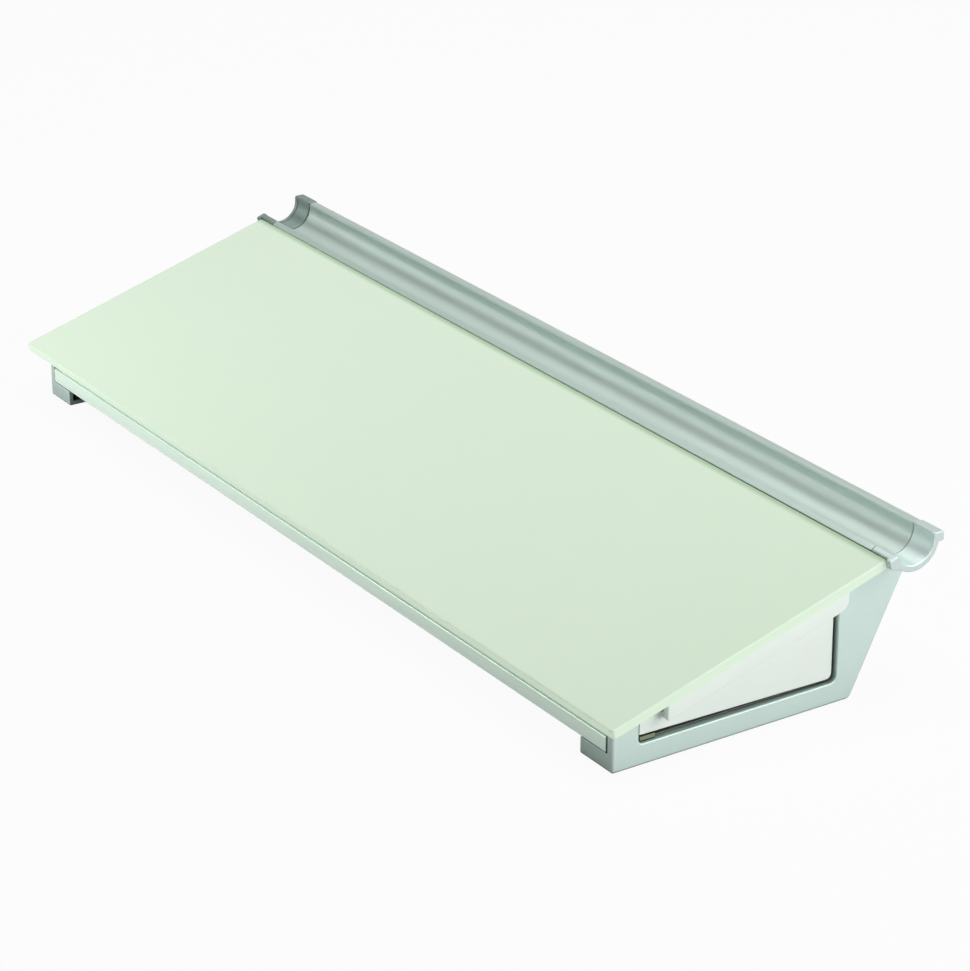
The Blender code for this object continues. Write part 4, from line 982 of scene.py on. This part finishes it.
def pale_floor_paint(tree):
    """Matt paint that takes the pad's shadow, mixed with plain white as the backdrop is: one share of it for
    the camera's rays, another for those of a gloss or glass."""
    wire(tree, base_color=rgba(colours().floor), roughness=0.9, specular_ior_level=0.0)
    path = add(tree, "LightPath").node.outputs
    seen = add(tree, "Math", {0: path["Is Camera Ray"], 1: FLOOR_SEEN}, operation="MULTIPLY")
    bent = add(tree, "Math", {0: path["Is Glossy Ray"], 1: path["Is Transmission Ray"]}, operation="MAXIMUM")
    bent = add(tree, "Math", {0: bent, 1: FLOOR_MIRRORED}, operation="MULTIPLY")
    share = add(tree, "Math", {0: seen, 1: bent}, operation="MAXIMUM")
    white = add(tree, "Emission", {"Color": WHITE, "Strength": 1.0})
    mixed = add(tree, "MixShader", {0: share, 1: tree.nodes["Principled BSDF"].outputs["BSDF"], 2: white})
    tree.links.new(mixed, tree.nodes["Material Output"].inputs["Surface"])


def studio(tree):
    """World: white for the camera, and for the rest a dim room with the glows that a gloss mirrors."""
    path = add(tree, "LightPath").node.outputs
    aim = add(tree, "TexCoord", out="Generated")
    strength = ROOM
    for way, start, power in GLOWS:
        near = add(tree, "VectorMath", {0: aim, 1: way}, operation="DOT_PRODUCT")
        glow = add(tree, "MapRange", {"Value": near, "From Min": start, "To Max": power},
                   interpolation_type="SMOOTHSTEP")
        glow = add(tree, "Math", {0: glow, 1: path["Is Glossy Ray"]}, operation="MULTIPLY")
        strength = add(tree, "Math", {0: glow, 1: strength}, operation="ADD")
    room = add(tree, "Background", {"Color": WHITE, "Strength": strength})
    seen = add(tree, "Background", {"Color": WHITE, "Strength": 1.0})
    mixed = add(tree, "MixShader", {0: path["Is Camera Ray"], 1: room, 2: seen})
    tree.links.new(mixed, tree.nodes["World Output"].inputs["Surface"])


class DRYPAD_OT_stage(bpy.types.Operator):
    """Stage: pale floor, soft lamps, world and camera"""

    bl_idname = "dry_pad.stage"
    bl_label = "Stage"

    def execute(self, context):
        scene = context.scene
        floor = bpy.data.meshes.new("floor")
        corners = [(x * FLOOR_REACH, y * FLOOR_REACH, 0) for x, y in ((-1, -1), (1, -1), (1, 1), (-1, 1))]
        floor.from_pydata(corners, [], [(0, 1, 2, 3)])
        floor.materials.append(once(pale_floor_paint))
        ground = bpy.data.objects.new("floor", floor)
        scene.collection.objects.link(ground)

        world = bpy.data.worlds.new("studio")
        world.use_nodes = True
        scene.world = world
        studio(world.node_tree)
        for lamp in LAMPS:
            area_light(*lamp)

        data = bpy.data.cameras.new("photo_camera")
        data.lens = CAMERA_LENS
        data.sensor_width = SENSOR_WIDTH
        data.sensor_fit = "HORIZONTAL"
        camera = bpy.data.objects.new("photo_camera", data)
        looking(camera, CAMERA_AT, CAMERA_TO)
        scene.camera = camera
        scene.view_settings.view_transform = "Standard"
        return {"FINISHED"}


class DRYPAD_PT_panel(bpy.types.Panel):
    """Lists the pad's pieces in the 3D view's sidebar"""

    bl_idname = "DRYPAD_PT_panel"
    bl_label = "Dry-erase pad"
    bl_space_type = "VIEW_3D"
    bl_region_type = "UI"
    bl_category = "Dry-erase pad"

    def draw(self, context):
        for made in OPERATORS:
            self.layout.operator(made.bl_idname)


OPERATORS = (DRYPAD_OT_glass, DRYPAD_OT_trough, DRYPAD_OT_caps, DRYPAD_OT_rail, DRYPAD_OT_frames,
             DRYPAD_OT_drawer, DRYPAD_OT_fittings, DRYPAD_OT_sheets, DRYPAD_OT_screws, DRYPAD_OT_stage)
CLASSES = (PadSizes, PadColours, *OPERATORS, DRYPAD_PT_panel)


def register():
    for made in CLASSES:
        bpy.utils.register_class(made)
    bpy.types.Scene.dry_pad_sizes = PointerProperty(type=PadSizes)
    bpy.types.Scene.dry_pad_colours = PointerProperty(type=PadColours)


def unregister():
    del bpy.types.Scene.dry_pad_colours
    del bpy.types.Scene.dry_pad_sizes
    for made in reversed(CLASSES):
        bpy.utils.unregister_class(made)


def main():
    register()
    for made in OPERATORS:
        group, name = made.bl_idname.split(".")
        if getattr(getattr(bpy.ops, group), name)() != {"FINISHED"}:
            raise RuntimeError(f"{made.bl_label} wasn't built")


if __name__ == "__main__":
    main()
